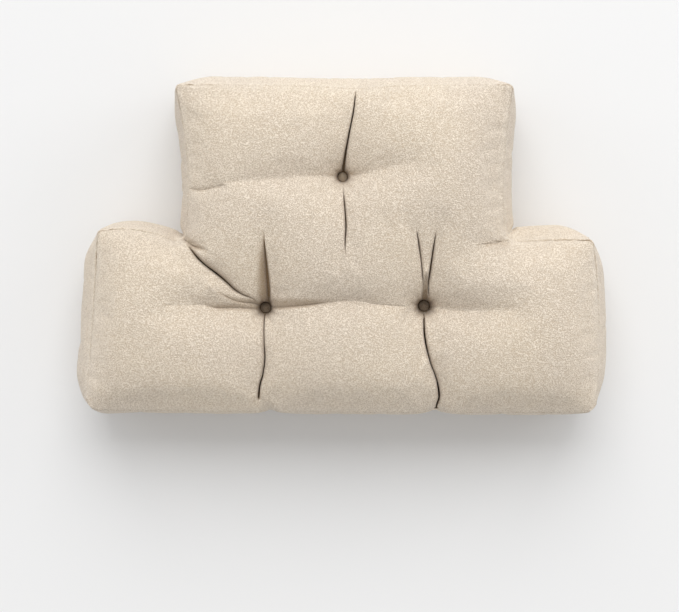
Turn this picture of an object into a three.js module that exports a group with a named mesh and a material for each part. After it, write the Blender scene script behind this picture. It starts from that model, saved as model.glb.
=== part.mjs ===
// Lumbar cushion with an inverted-T outline, a button-tufted face and boxed sides, lying on its back.
// Millimetres, +Z up: the face looks up, the head end points to +Y and the back lies flat at z = 0.
import * as THREE from "three";

// Driving dimensions
const THICKNESS = 148; // floor to the fullest part of the face
const FACE_SEAM_HEIGHT = 106; // seam between the face panel and the boxing
const BACK_SEAM_HEIGHT = 18; // seam between the boxing and the back panel
const CORNER_REACH = 42; // distance from a corner over which the boxing comes to its full swell
const BACK_INSET = 26; // from the back seam in to the part of the back that lies flat
const BACK_SOFTENING = 24; // how much rounder the corners of that flat part are than the seam's

const SEAT_HEIGHT = 92; // floor to the seat that a button is drawn down to
const SEAT_RADIUS = 8;
const BUTTON_RADIUS = 6;
const BUTTON_RIM = 1.6; // height of the button's straight rim
const BUTTON_DOME = 2.8; // rise of its dome above the rim
const BUTTON_GAP = 0.3; // between a button and its seat

// Fineness of the solid
const OUTLINE_STEP = 10.5;
const FACE_STEP = 12;
const FOLD_STEP = 7;
const FOLD_FLANK = 5; // a row of points this far to each side of a fold keeps its valley narrow
const NEAREST_POINTS = 0.62; // no filling point lies nearer to another than this share of FACE_STEP
const BOXING_ROWS = 6;
const BACK_ROWS = 3;
const CORNER_STEPS = 3; // fewest steps round a corner
const SWELL_EASING = 6; // smoothing passes between one edge's fullness and the next
const SEAT_SIDES = 10;
const BUTTON_SIDES = 24;
const BUTTON_ROWS = 5;

const NUBBY_CLOTH = new THREE.MeshStandardMaterial({ color: 0xdccfbb, roughness: 0.95, metalness: 0 });
const BUTTON_CLOTH = new THREE.MeshStandardMaterial({ color: 0x9c8a72, roughness: 0.9, metalness: 0 });

// Corners of the face seam, counterclockwise. round is the corner's cut-back along both edges. The other
// two belong to the edge that follows: bow is how far it swells past a straight line, or is drawn in
// where negative, and full is how far the boxing under it swells past its seams.
const CORNERS = [
  { name: "foot left", x: -289, y: -177, round: 15, bow: 1, full: 10 },
  { name: "foot right", x: 284, y: -178, round: 14, bow: 4, full: 14 },
  { name: "right shoulder", x: 283, y: 11, round: 8, bow: 1, full: 18 },
  { name: "right notch", x: 179, y: 8, round: 24, bow: -4, full: 13 },
  { name: "head right", x: 190, y: 182, round: 7, bow: -1, full: 10 },
  { name: "head left", x: -187, y: 182, round: 7, bow: -8, full: 12 },
  { name: "left notch", x: -173, y: 12, round: 24, bow: 1, full: 12 },
  { name: "left shoulder", x: -275, y: 19, round: 8, bow: 1, full: 14 },
];

// Places where the tufts draw the edge of the face in and down.
const EDGE_DRAWS = [
  { name: "head edge, above its button", x: 11, y: 180, inward: 3, down: 5, reach: 42 },
  { name: "foot edge, below the left button", x: -94, y: -175, inward: 4, down: 9, reach: 15 },
  { name: "foot edge, below the right button", x: 107, y: -176, inward: 4, down: 9, reach: 15 },
  { name: "left notch", x: -174, y: 9, inward: 0, down: 6, reach: 30 },
  { name: "right notch", x: 182, y: 6, inward: 0, down: 4, reach: 30 },
];

const BUTTONS = {
  head: { x: 0, y: 80 },
  left: { x: -86, y: -66 },
  right: { x: 91, y: -64 },
};

// Folds in the face. Each starts at a button and follows its route. depth is how far it sinks below
// the smooth face at its deepest, and peak is the share of its run at which that is.
const FOLDS = [
  { button: "head", towards: "head edge", depth: 17, peak: 0.3, route: [[4, 102], [7, 129], [13, 170]] },
  { button: "head", towards: "foot", depth: 11, peak: 0.4, route: [[2, 52], [4, 24], [5, -17]] },
  { button: "head", towards: "left side", depth: 8, peak: 0.25, route: [[-36, 79], [-78, 76]] },
  { button: "head", towards: "right side", depth: 8, peak: 0.25, route: [[36, 85], [72, 93]] },
  { button: "left", towards: "head", depth: 14, peak: 0.3, route: [[-86, -25], [-87, 22]] },
  {
    button: "left",
    towards: "foot edge",
    depth: 17,
    peak: 0.55,
    route: [[-88, -108], [-90, -136], [-94, -167]],
  },
  {
    button: "left",
    towards: "left notch",
    depth: 18,
    peak: 0.45,
    route: [[-108, -55], [-119, -48], [-134, -32], [-152, -16], [-166, -2]],
  },
  {
    button: "left",
    towards: "left side",
    depth: 8,
    peak: 0.25,
    route: [[-113, -63], [-141, -62], [-172, -64]],
  },
  { button: "left", towards: "middle", depth: 8, peak: 0.25, route: [[-36, -59], [-2, -58]] },
  { button: "right", towards: "middle", depth: 8, peak: 0.25, route: [[52, -59], [14, -57]] },
  { button: "right", towards: "head", depth: 11, peak: 0.35, route: [[84, -14], [79, 28]] },
  { button: "right", towards: "right notch", depth: 13, peak: 0.35, route: [[97, -16], [103, 28]] },
  {
    button: "right",
    towards: "foot edge",
    depth: 17,
    peak: 0.55,
    route: [[90, -86], [93, -108], [98, -123], [105, -142], [107, -168]],
  },
  { button: "right", towards: "right side", depth: 8, peak: 0.25, route: [[130, -61], [178, -61]] },
];

const vector = ([x, y]) => new THREE.Vector2(x, y);

// A number from 0 at a corner to 1 at CORNER_REACH and beyond, with no kink at its end.
function awayFromCorners(point) {
  const nearest = Math.min(...CORNERS.map((corner) => point.distanceTo(corner)));
  const share = Math.min(1, nearest / CORNER_REACH);
  return 1 - (1 - share) ** 2;
}

// A closed list of numbers with its steps smoothed out.
function smoothed(values, passes) {
  if (passes === 0) return values;
  const eased = values.map((value, i) => (values.at(i - 1) + 2 * value + values[(i + 1) % values.length]) / 4);
  return smoothed(eased, passes - 1);
}

// The cushion's outline as curves, edge and corner in turn. inset moves every edge in from the seam,
// and softening makes every corner rounder.
function outlineCurves(inset, softening) {
  const seam = CORNERS.map(({ x, y }) => new THREE.Vector2(x, y));
  const inwards = seam.map((corner, i) => {
    const along = seam[(i + 1) % seam.length].clone().sub(corner);
    return new THREE.Vector2(-along.y, along.x).normalize();
  });
  const corners = seam.map((corner, i) => {
    const both = inwards[i].clone().add(inwards.at(i - 1));
    return corner.clone().addScaledVector(both, inset / (1 + inwards[i].dot(inwards.at(i - 1))));
  });
  const towards = (from, to, distance) => from.clone().add(to.clone().sub(from).setLength(distance));
  return CORNERS.flatMap(({ round, bow }, i) => {
    const next = (i + 1) % CORNERS.length;
    const beyond = (i + 2) % CORNERS.length;
    const cutBack = CORNERS[next].round + softening;
    const leaving = towards(corners[i], corners[next], round + softening);
    const arriving = towards(corners[next], corners[i], cutBack);
    const swell = leaving.clone().lerp(arriving, 0.5).addScaledVector(inwards[i], -2 * bow);
    const turned = towards(corners[next], corners[beyond], cutBack);
    return [
      new THREE.QuadraticBezierCurve(leaving, swell, arriving),
      new THREE.QuadraticBezierCurve(arriving, corners[next], turned),
    ];
  });
}

const OUTLINE_COUNTS = outlineCurves(0, 0).map((curve) =>
  Math.max(CORNER_STEPS, Math.round(curve.getLength() / OUTLINE_STEP)),
);

// Points round an outline, counterclockwise, as many on each edge and corner whatever its inset.
function outlinePoints(inset, softening) {
  const curves = outlineCurves(inset, softening);
  return curves.flatMap((curve, i) => curve.getSpacedPoints(OUTLINE_COUNTS[i]).slice(0, -1));
}

// How far the boxing swells past its seams at each point of the smooth outline.
function boxingSwell(smooth) {
  const full = OUTLINE_COUNTS.flatMap((count, i) => Array(count).fill(CORNERS[Math.floor(i / 2)].full));
  return smoothed(full, SWELL_EASING).map((value, i) => value * awayFromCorners(smooth[i]));
}

// How strongly each edge draw works on a point of the seam.
const drawShare = (draw, point) => Math.exp(-(point.distanceToSquared(draw) / draw.reach ** 2));

// The seam in plan, smooth and with its edge drawn in, and its height at each point.
function faceSeam() {
  const smooth = outlinePoints(0, 0);
  const outward = outwardDirections(smooth);
  const heights = smooth.map((point) =>
    EDGE_DRAWS.reduce((height, draw) => height - draw.down * drawShare(draw, point), FACE_SEAM_HEIGHT),
  );
  const outline = smooth.map((point, i) => {
    const inward = EDGE_DRAWS.reduce((sum, draw) => sum + draw.inward * drawShare(draw, point), 0);
    return point.clone().addScaledVector(outward[i], -inward);
  });
  return { outline, smooth, heights };
}

// The outward direction at each point of a closed counterclockwise outline.
function outwardDirections(outline) {
  return outline.map((_, i) => {
    const next = outline[(i + 1) % outline.length];
    const along = next.clone().sub(outline.at(i - 1));
    return new THREE.Vector2(along.y, -along.x).normalize();
  });
}

function isInside(point, outline) {
  let inside = false;
  outline.forEach((a, i) => {
    const b = outline.at(i - 1);
    const crosses = a.y > point.y !== b.y > point.y;
    if (crosses && point.x < ((b.x - a.x) * (point.y - a.y)) / (b.y - a.y) + a.x) inside = !inside;
  });
  return inside;
}

// Points along one fold from the rim of its seat, each with its share of the run and its flanks.
function foldPoints(fold) {
  const button = vector([BUTTONS[fold.button].x, BUTTONS[fold.button].y]);
  const line = new THREE.SplineCurve([button, ...fold.route.map(vector)]);
  const count = Math.round(line.getLength() / FOLD_STEP);
  const found = [];
  for (let i = 1; i <= count; i++) {
    const share = i / count;
    const middle = line.getPointAt(share);
    if (middle.distanceTo(button) < SEAT_RADIUS + FOLD_FLANK) continue;
    const along = line.getTangentAt(share);
    const aside = new THREE.Vector2(-along.y, along.x).multiplyScalar(FOLD_FLANK);
    const sunk = fold.depth * Math.sin(Math.PI * share ** (Math.log(0.5) / Math.log(fold.peak)));
    found.push({ middle, sunk, flanks: [middle.clone().add(aside), middle.clone().sub(aside)] });
  }
  return found;
}

// Rings of points on the seats that the buttons are drawn down to.
function seatPoints(button) {
  const centre = vector([button.x, button.y]);
  const rim = Array.from({ length: SEAT_SIDES }, (_, i) => {
    const angle = (2 * Math.PI * i) / SEAT_SIDES;
    return centre.clone().add(vector([Math.cos(angle), Math.sin(angle)]).multiplyScalar(SEAT_RADIUS));
  });
  return [centre, ...rim];
}

// Every point of the face in plan: the seam first, then seats, folds, their flanks and a filling grid.
function facePlan({ outline, heights }) {
  const points = [...outline];
  const held = new Map(heights.entries());
  const sunk = new Map();
  const edges = outline.map((point, i) => ({
    middle: point.clone().lerp(outline.at(i - 1), 0.5),
    reach: point.distanceTo(outline.at(i - 1)) * 0.55,
  }));
  const isClear = (point, distance) =>
    points.every((other) => other.distanceTo(point) >= distance) &&
    edges.every(({ middle, reach }) => middle.distanceTo(point) > reach) &&
    isInside(point, outline);
  for (const button of Object.values(BUTTONS)) {
    for (const point of seatPoints(button)) held.set(points.push(point) - 1, SEAT_HEIGHT);
  }
  const rows = FOLDS.flatMap(foldPoints).filter((row) => isClear(row.middle, FOLD_FLANK));
  for (const row of rows) {
    if (isClear(row.middle, FOLD_FLANK * 0.8)) sunk.set(points.push(row.middle) - 1, row.sunk);
  }
  for (const flank of rows.flatMap((row) => row.flanks)) {
    if (isClear(flank, FOLD_FLANK * 0.75)) points.push(flank);
  }
  const box = new THREE.Box2().setFromPoints(outline);
  const rise = FACE_STEP * Math.sin(Math.PI / 3);
  for (let row = 0; box.min.y + row * rise < box.max.y; row++) {
    for (let x = box.min.x + ((row % 2) * FACE_STEP) / 2; x < box.max.x; x += FACE_STEP) {
      // a slight sway keeps four neighbours off one circle
      const point = vector([x + 0.4 * Math.sin(3 * row), box.min.y + row * rise + 0.4 * Math.sin(x)]);
      if (isClear(point, NEAREST_POINTS * FACE_STEP)) points.push(point);
    }
  }
  return { points, held, sunk };
}

// Delaunay triangles of points in plan, counterclockwise, found by adding the points one at a time.
function delaunay(points) {
  const far = 5000;
  const all = [...points, vector([-far, -far]), vector([far, -far]), vector([0, far])];
  const circled = (a, b, c) => {
    const [p, q, r] = [all[a], all[b], all[c]];
    const [ux, uy, vx, vy] = [q.x - p.x, q.y - p.y, r.x - p.x, r.y - p.y];
    const cross = 2 * (ux * vy - uy * vx);
    const [u, v] = [ux * ux + uy * uy, vx * vx + vy * vy];
    const [cx, cy] = [(vy * u - uy * v) / cross, (ux * v - vx * u) / cross];
    return { corners: [a, b, c], x: p.x + cx, y: p.y + cy, reach: cx * cx + cy * cy };
  };
  let triangles = [circled(points.length, points.length + 1, points.length + 2)];
  points.forEach((point, index) => {
    const kept = [];
    const rim = new Map();
    for (const triangle of triangles) {
      if ((point.x - triangle.x) ** 2 + (point.y - triangle.y) ** 2 >= triangle.reach) {
        kept.push(triangle);
        continue;
      }
      triangle.corners.forEach((a, i) => {
        const b = triangle.corners[(i + 1) % 3];
        if (!rim.delete(`${b} ${a}`)) rim.set(`${a} ${b}`, [a, b]);
      });
    }
    for (const [a, b] of rim.values()) kept.push(circled(a, b, index));
    triangles = kept;
  });
  const found = triangles.map((triangle) => triangle.corners);
  return found.filter((corners) => Math.max(...corners) < points.length);
}

// The pull of each point's neighbours on it, and the share of the face that it carries.
function skin(points, triangles) {
  const pulls = points.map(() => new Map());
  const areas = new Float64Array(points.length);
  for (const corners of triangles) {
    corners.forEach((apex, i) => {
      const [a, b] = [corners[(i + 1) % 3], corners[(i + 2) % 3]];
      const u = points[a].clone().sub(points[apex]);
      const v = points[b].clone().sub(points[apex]);
      const pull = u.dot(v) / u.cross(v) / 2;
      pulls[a].set(b, (pulls[a].get(b) ?? 0) + pull);
      pulls[b].set(a, (pulls[b].get(a) ?? 0) + pull);
      areas[apex] += u.cross(v) / 6;
    });
  }
  return pulls.map((pull, i) => {
    const total = [...pull.values()].reduce((sum, value) => sum + value, 0);
    return { neighbours: [...pull.keys()], weights: [...pull.values()], total, area: areas[i] };
  });
}

// Where a stretched skin comes to rest under a push, with some of its points held.
function rest(links, held, push) {
  const overshoot = 1.9;
  const sweeps = 420;
  const level = new Float64Array(links.length);
  for (const [i, height] of held) level[i] = height;
  for (let sweep = 0; sweep < sweeps; sweep++) {
    links.forEach((link, i) => {
      if (held.has(i)) return;
      let sum = push * link.area;
      link.neighbours.forEach((n, k) => (sum += link.weights[k] * level[n]));
      level[i] += overshoot * (sum / link.total - level[i]);
    });
  }
  return level;
}

// Heights of a face filled to THICKNESS. The skin is worked out on squared heights over a level just
// under the seats, which rounds it as a filled cover is rounded.
function filledHeights(links, held) {
  const datum = SEAT_HEIGHT - 6;
  const squared = new Map([...held].map(([i, height]) => [i, (height - datum) ** 2]));
  const slack = rest(links, squared, 0);
  const swell = rest(links, new Map([...held.keys()].map((i) => [i, 0])), 1);
  const crown = (THICKNESS - datum) ** 2;
  const room = Array.from(slack, (value, i) => (swell[i] > 0 ? (crown - value) / swell[i] : Infinity));
  const push = Math.min(...room);
  return Array.from(slack, (value, i) => datum + Math.sqrt(Math.max(0, value + push * swell[i])));
}

// The tufted face: filled once smooth, then again with its folds held below that smooth face.
function faceSurface(seam) {
  const { points, held, sunk } = facePlan(seam);
  const triangles = delaunay(points).filter((corners) => {
    const centre = corners.reduce((sum, i) => sum.add(points[i]), new THREE.Vector2()).divideScalar(3);
    return isInside(centre, seam.outline);
  });
  const links = skin(points, triangles);
  const smooth = filledHeights(links, held);
  for (const [i, depth] of sunk) held.set(i, Math.max(SEAT_HEIGHT, smooth[i] - depth));
  const heights = filledHeights(links, held);
  return { points: points.map((p, i) => new THREE.Vector3(p.x, p.y, heights[i])), triangles };
}

// Closed rings from the face seam down the swelling boxing and round under the back's edge.
function sideRings({ outline, smooth, heights }) {
  const outward = outwardDirections(smooth);
  const swell = boxingSwell(smooth);
  const flat = outlinePoints(BACK_INSET, BACK_SOFTENING);
  const rings = [];
  for (let row = 1; row <= BOXING_ROWS; row++) {
    const down = row / BOXING_ROWS;
    const ring = outline.map((point, i) => {
      const outset = swell[i] * Math.sin(Math.PI * down);
      const { x, y } = point.clone().lerp(smooth[i], down).addScaledVector(outward[i], outset);
      return new THREE.Vector3(x, y, THREE.MathUtils.lerp(heights[i], BACK_SEAM_HEIGHT, down));
    });
    rings.push(ring);
  }
  for (let row = 1; row <= BACK_ROWS; row++) {
    const turn = (row / BACK_ROWS) * (Math.PI / 2);
    const height = row === BACK_ROWS ? 0 : BACK_SEAM_HEIGHT * (1 - Math.sin(turn));
    const ring = smooth.map((point, i) => {
      const { x, y } = point.clone().lerp(flat[i], 1 - Math.cos(turn));
      return new THREE.Vector3(x, y, height);
    });
    rings.push(ring);
  }
  return rings;
}

// The filled case as one closed solid: face, boxing, rounded back edge and flat back.
function cushionGeometry() {
  const seam = faceSeam();
  const face = faceSurface(seam);
  const rings = sideRings(seam);
  const vertices = [...face.points];
  const indices = face.triangles.flat();
  const around = seam.outline.length;
  let above = 0; // the face's first points are its seam
  for (const ring of rings) {
    const below = vertices.length;
    vertices.push(...ring);
    for (let i = 0; i < around; i++) {
      const j = (i + 1) % around;
      indices.push(above + i, below + i, above + j, above + j, below + i, below + j);
    }
    above = below;
  }
  const back = rings.at(-1).map((p) => new THREE.Vector2(p.x, p.y));
  for (const [a, b, c] of THREE.ShapeUtils.triangulateShape(back, [])) {
    indices.push(above + a, above + c, above + b);
  }
  return new THREE.BufferGeometry().setFromPoints(vertices).setIndex(indices);
}

// A cloth-covered button: flat underside, short rim and a low dome, turned about Z.
function buttonGeometry() {
  const profile = [new THREE.Vector2(0, 0), new THREE.Vector2(BUTTON_RADIUS, 0)];
  for (let row = 0; row < BUTTON_ROWS; row++) {
    const turn = ((row / BUTTON_ROWS) * Math.PI) / 2;
    const height = BUTTON_RIM + BUTTON_DOME * Math.sin(turn);
    profile.push(new THREE.Vector2(BUTTON_RADIUS * Math.cos(turn), height));
  }
  profile.push(new THREE.Vector2(0, BUTTON_RIM + BUTTON_DOME));
  return new THREE.LatheGeometry(profile, BUTTON_SIDES).rotateX(Math.PI / 2);
}

function named(name, geometry, material) {
  const mesh = new THREE.Mesh(geometry, material);
  mesh.name = name;
  return mesh;
}

const upholstery = new THREE.Group();
upholstery.add(named("cushion", cushionGeometry(), NUBBY_CLOTH));
for (const [name, place] of Object.entries(BUTTONS)) {
  const button = named(`button_${name}`, buttonGeometry(), BUTTON_CLOTH.clone());
  button.position.set(place.x, place.y, SEAT_HEIGHT + BUTTON_GAP);
  upholstery.add(button);
}

// The part's origin lies on the floor under the middle of its box.
const middle = new THREE.Box3().setFromObject(upholstery).getCenter(new THREE.Vector3());
upholstery.position.set(-middle.x, -middle.y, 0);

const part = new THREE.Group();
part.add(upholstery);

export default part;
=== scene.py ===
"""Looks of an inverted-T lumbar cushion with a tufted face, lying on its back on a pale floor."""

import logging
import math
from collections.abc import Sequence
from dataclasses import dataclass, field
from enum import Enum

import bpy
import numpy as np
from mathutils import Matrix, Vector, noise
from mathutils.geometry import delaunay_2d_cdt
from mathutils.kdtree import KDTree


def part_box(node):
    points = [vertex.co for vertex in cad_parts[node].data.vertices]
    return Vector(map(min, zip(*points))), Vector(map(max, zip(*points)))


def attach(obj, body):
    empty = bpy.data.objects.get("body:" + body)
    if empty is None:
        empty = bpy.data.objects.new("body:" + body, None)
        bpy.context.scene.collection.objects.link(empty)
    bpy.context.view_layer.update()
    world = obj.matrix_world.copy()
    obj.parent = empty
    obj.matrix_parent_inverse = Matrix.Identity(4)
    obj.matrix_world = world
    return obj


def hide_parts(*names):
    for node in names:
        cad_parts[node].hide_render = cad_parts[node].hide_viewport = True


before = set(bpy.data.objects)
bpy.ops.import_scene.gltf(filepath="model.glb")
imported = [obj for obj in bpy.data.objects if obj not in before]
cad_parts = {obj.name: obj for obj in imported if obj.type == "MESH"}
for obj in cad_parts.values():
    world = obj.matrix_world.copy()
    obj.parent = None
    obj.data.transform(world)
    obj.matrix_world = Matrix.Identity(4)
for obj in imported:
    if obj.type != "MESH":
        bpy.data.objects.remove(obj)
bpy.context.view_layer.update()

Face = tuple[int, ...]
Colour = tuple[float, float, float]
Socket = bpy.types.NodeSocket

LOG = logging.getLogger("cushion")
MM = 0.001
TINY = 1e-9
BODY = "root"


class Slot(Enum):
    """The finishes, by the names that their materials take."""

    COVER = "nubby_cloth"
    BUTTON = "button_cloth"


class Place(Enum):
    """Where on the face a tuft is."""

    HEAD = "head"
    LEFT = "left"
    RIGHT = "right"

    @property
    def node(self) -> str:
        """The CAD node of the button there."""
        return f"button_{self.value}"


@dataclass(frozen=True)
class Corner:
    """A corner of the face seam, and the edge that follows it counterclockwise, in millimetres.

    cut_back is how far the corner is rounded off along both edges. bow is how far the edge swells past a
    straight line, or is drawn in where negative, and full how far the boxing under it swells past its
    seams. seen is how far from the corner the seam's line still shows, and reach how far from it the
    boxing is held back from swelling.
    """

    x: float
    y: float
    cut_back: float
    bow: float
    full: float
    seen: float
    reach: float = 42.0


@dataclass(frozen=True)
class EdgeDraw:
    """A place where the tufts draw the edge of the face in and down, in millimetres."""

    x: float
    y: float
    inward: float
    down: float
    reach: float


@dataclass(frozen=True)
class Tuft:
    """A tuft's place in plan, its button's radius and its seat's, in millimetres.

    roll is the radius over which the cloth rolls down to the seat, and halo how dark the shade round it
    is. That shade is the roll's own, with more close round the button and a wider one above it.
    """

    place: Place
    x: float
    y: float
    button: float
    seat: float
    roll: float
    halo: float
    roll_shade: float = 0.5
    close_shade: float = 0.3
    close_reach: float = 5.0
    upper_shade: float = 0.12
    upper_reach: float = 13.0
    upper_start: float = -6.0
    upper_rise: float = 10.0

    def away(self, plan: np.ndarray) -> np.ndarray:
        """How far outside the seat each point in plan lies."""
        return np.linalg.norm(plan - (self.x, self.y), axis=1) - self.seat

    def draw(self, plan: np.ndarray) -> tuple[np.ndarray, np.ndarray]:
        """How the tuft draws the cloth down.

        Args:
            plan: points in plan.

        Returns:
            How far down to the seat each point has rolled, and how deep in shade it lies, from 0 to 1.
        """
        away = self.away(plan)
        roll = rolled(away / self.roll)
        # painted shade round the button: the roll's own, more close round it, and a wider band above it
        upper = self.upper_shade * ease((plan[:, 1] - self.y - self.upper_start) / self.upper_rise)
        halo_shade = self.close_shade * np.exp(-((away / self.close_reach) ** 2))
        halo_shade += upper * np.exp(-((away / self.upper_reach) ** 2))
        return roll, self.halo * (self.roll_shade * roll + halo_shade)


@dataclass(frozen=True)
class Pucker:
    """Small gathers that fan out round a point of the cover from a radius on, in millimetres.

    onset is how far past that radius they come to their full depth, and reach how far out they last.
    """

    x: float
    y: float
    start: float
    gathers: int
    depth: float
    reach: float
    onset: float = 3.0

    def raised(self, points: np.ndarray) -> np.ndarray:
        """How far the gathers stand out. Each fan is turned by its own place, so no two are alike.

        Args:
            points: the cover's points in space.

        Returns:
            One height a point.
        """
        off = points[:, :2] - (self.x, self.y)
        radius = (np.linalg.norm(off, axis=1) - self.start).clip(0.0)
        turn = np.arctan2(off[:, 1], off[:, 0])
        fan = np.exp(-radius / self.reach) * (1 - np.exp(-((radius / self.onset) ** 2)))
        return self.depth * fan * np.cos(self.gathers * turn + self.x)


@dataclass(frozen=True)
class Gap:
    """The narrow gap of a fold, in millimetres.

    lips are the radii over which the cloth on the left and right of the fold rolls into the gap, and
    halves the gap's half widths evenly along the run. darks is how black the shade in the gap is,
    evenly along the run too, and murk how much of it lies on the lips, all from 0 to 1.
    """

    depth: float
    lips: tuple[float, float]
    halves: tuple[float, ...]
    darks: tuple[float, ...]
    murk: float = 0.0


@dataclass(frozen=True)
class Fold:
    """A fold in the face, in millimetres, from a tuft or else from the first point of its route.

    sinks is how far the cloth round the fold lies below the smooth face, and peak the share of the run
    at which it lies lowest.
    """

    start: Place | None
    sinks: float
    peak: float
    route: tuple[tuple[float, float], ...]
    gap: Gap | None = None


CORNERS: tuple[Corner, ...] = (
    Corner(-287, -180, 17, 1, 4, 1),  # foot left
    Corner(284, -183, 16, 4, 12, 1),  # foot right
    Corner(279.5, 10, 8, 1, 15, 48),  # right shoulder
    Corner(178, 8, 24, -4, 11, 1, 20),  # right notch
    Corner(188.5, 182, 7, -1, 10, 16),  # head right
    Corner(-185, 182, 7, -7, 9, 32),  # head left
    Corner(-173, 7, 16, 5.5, 8, 1, 22),  # left notch
    Corner(-272, 22, 8, -1, 18, 56),  # left shoulder
)

EDGE_DRAWS: tuple[EdgeDraw, ...] = (
    EdgeDraw(11, 180, 3, 5, 42),  # head edge, above its button
    EdgeDraw(-81, -181, 4, 7, 8),  # foot edge, below the left button
    EdgeDraw(104.5, -182, 4, 8, 11),  # foot edge, below the right button
    EdgeDraw(-173, 7, 0, 6, 30),  # left notch
    EdgeDraw(178, 8, 0, 4, 30),  # right notch
)

TUFTS: tuple[Tuft, ...] = (
    Tuft(Place.HEAD, 0, 80, 5.1, 5.7, 3.6, 0.7),
    Tuft(Place.LEFT, -86, -66, 5.8, 6.6, 7.0, 0.9),
    Tuft(Place.RIGHT, 91, -64, 5.8, 6.6, 7.0, 0.9),
)

PUCKERS: tuple[Pucker, ...] = (
    Pucker(0, 80, 6.6, 9, 0.7, 10),  # head button
    Pucker(-86, -66, 6.6, 10, 0.8, 11),  # left button
    Pucker(91, -64, 6.6, 11, 0.7, 10),  # right button
    Pucker(-173, 7, 0, 15, 1.0, 17),  # left notch
    Pucker(178, 8, 0, 17, 1.1, 17),  # right notch
    Pucker(-81, -181, 0, 13, 0.7, 12),  # foot edge, below the left button
    Pucker(104.5, -182, 0, 12, 0.8, 13),  # foot edge, below the right button
    Pucker(-272, 22, 0, 18, 0.6, 15),  # left shoulder
    Pucker(279.5, 10, 0, 17, 0.6, 15),  # right shoulder
    Pucker(-185, 182, 0, 16, 0.6, 14),  # head left
    Pucker(187, 182, 0, 18, 0.6, 14),  # head right
)

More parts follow.
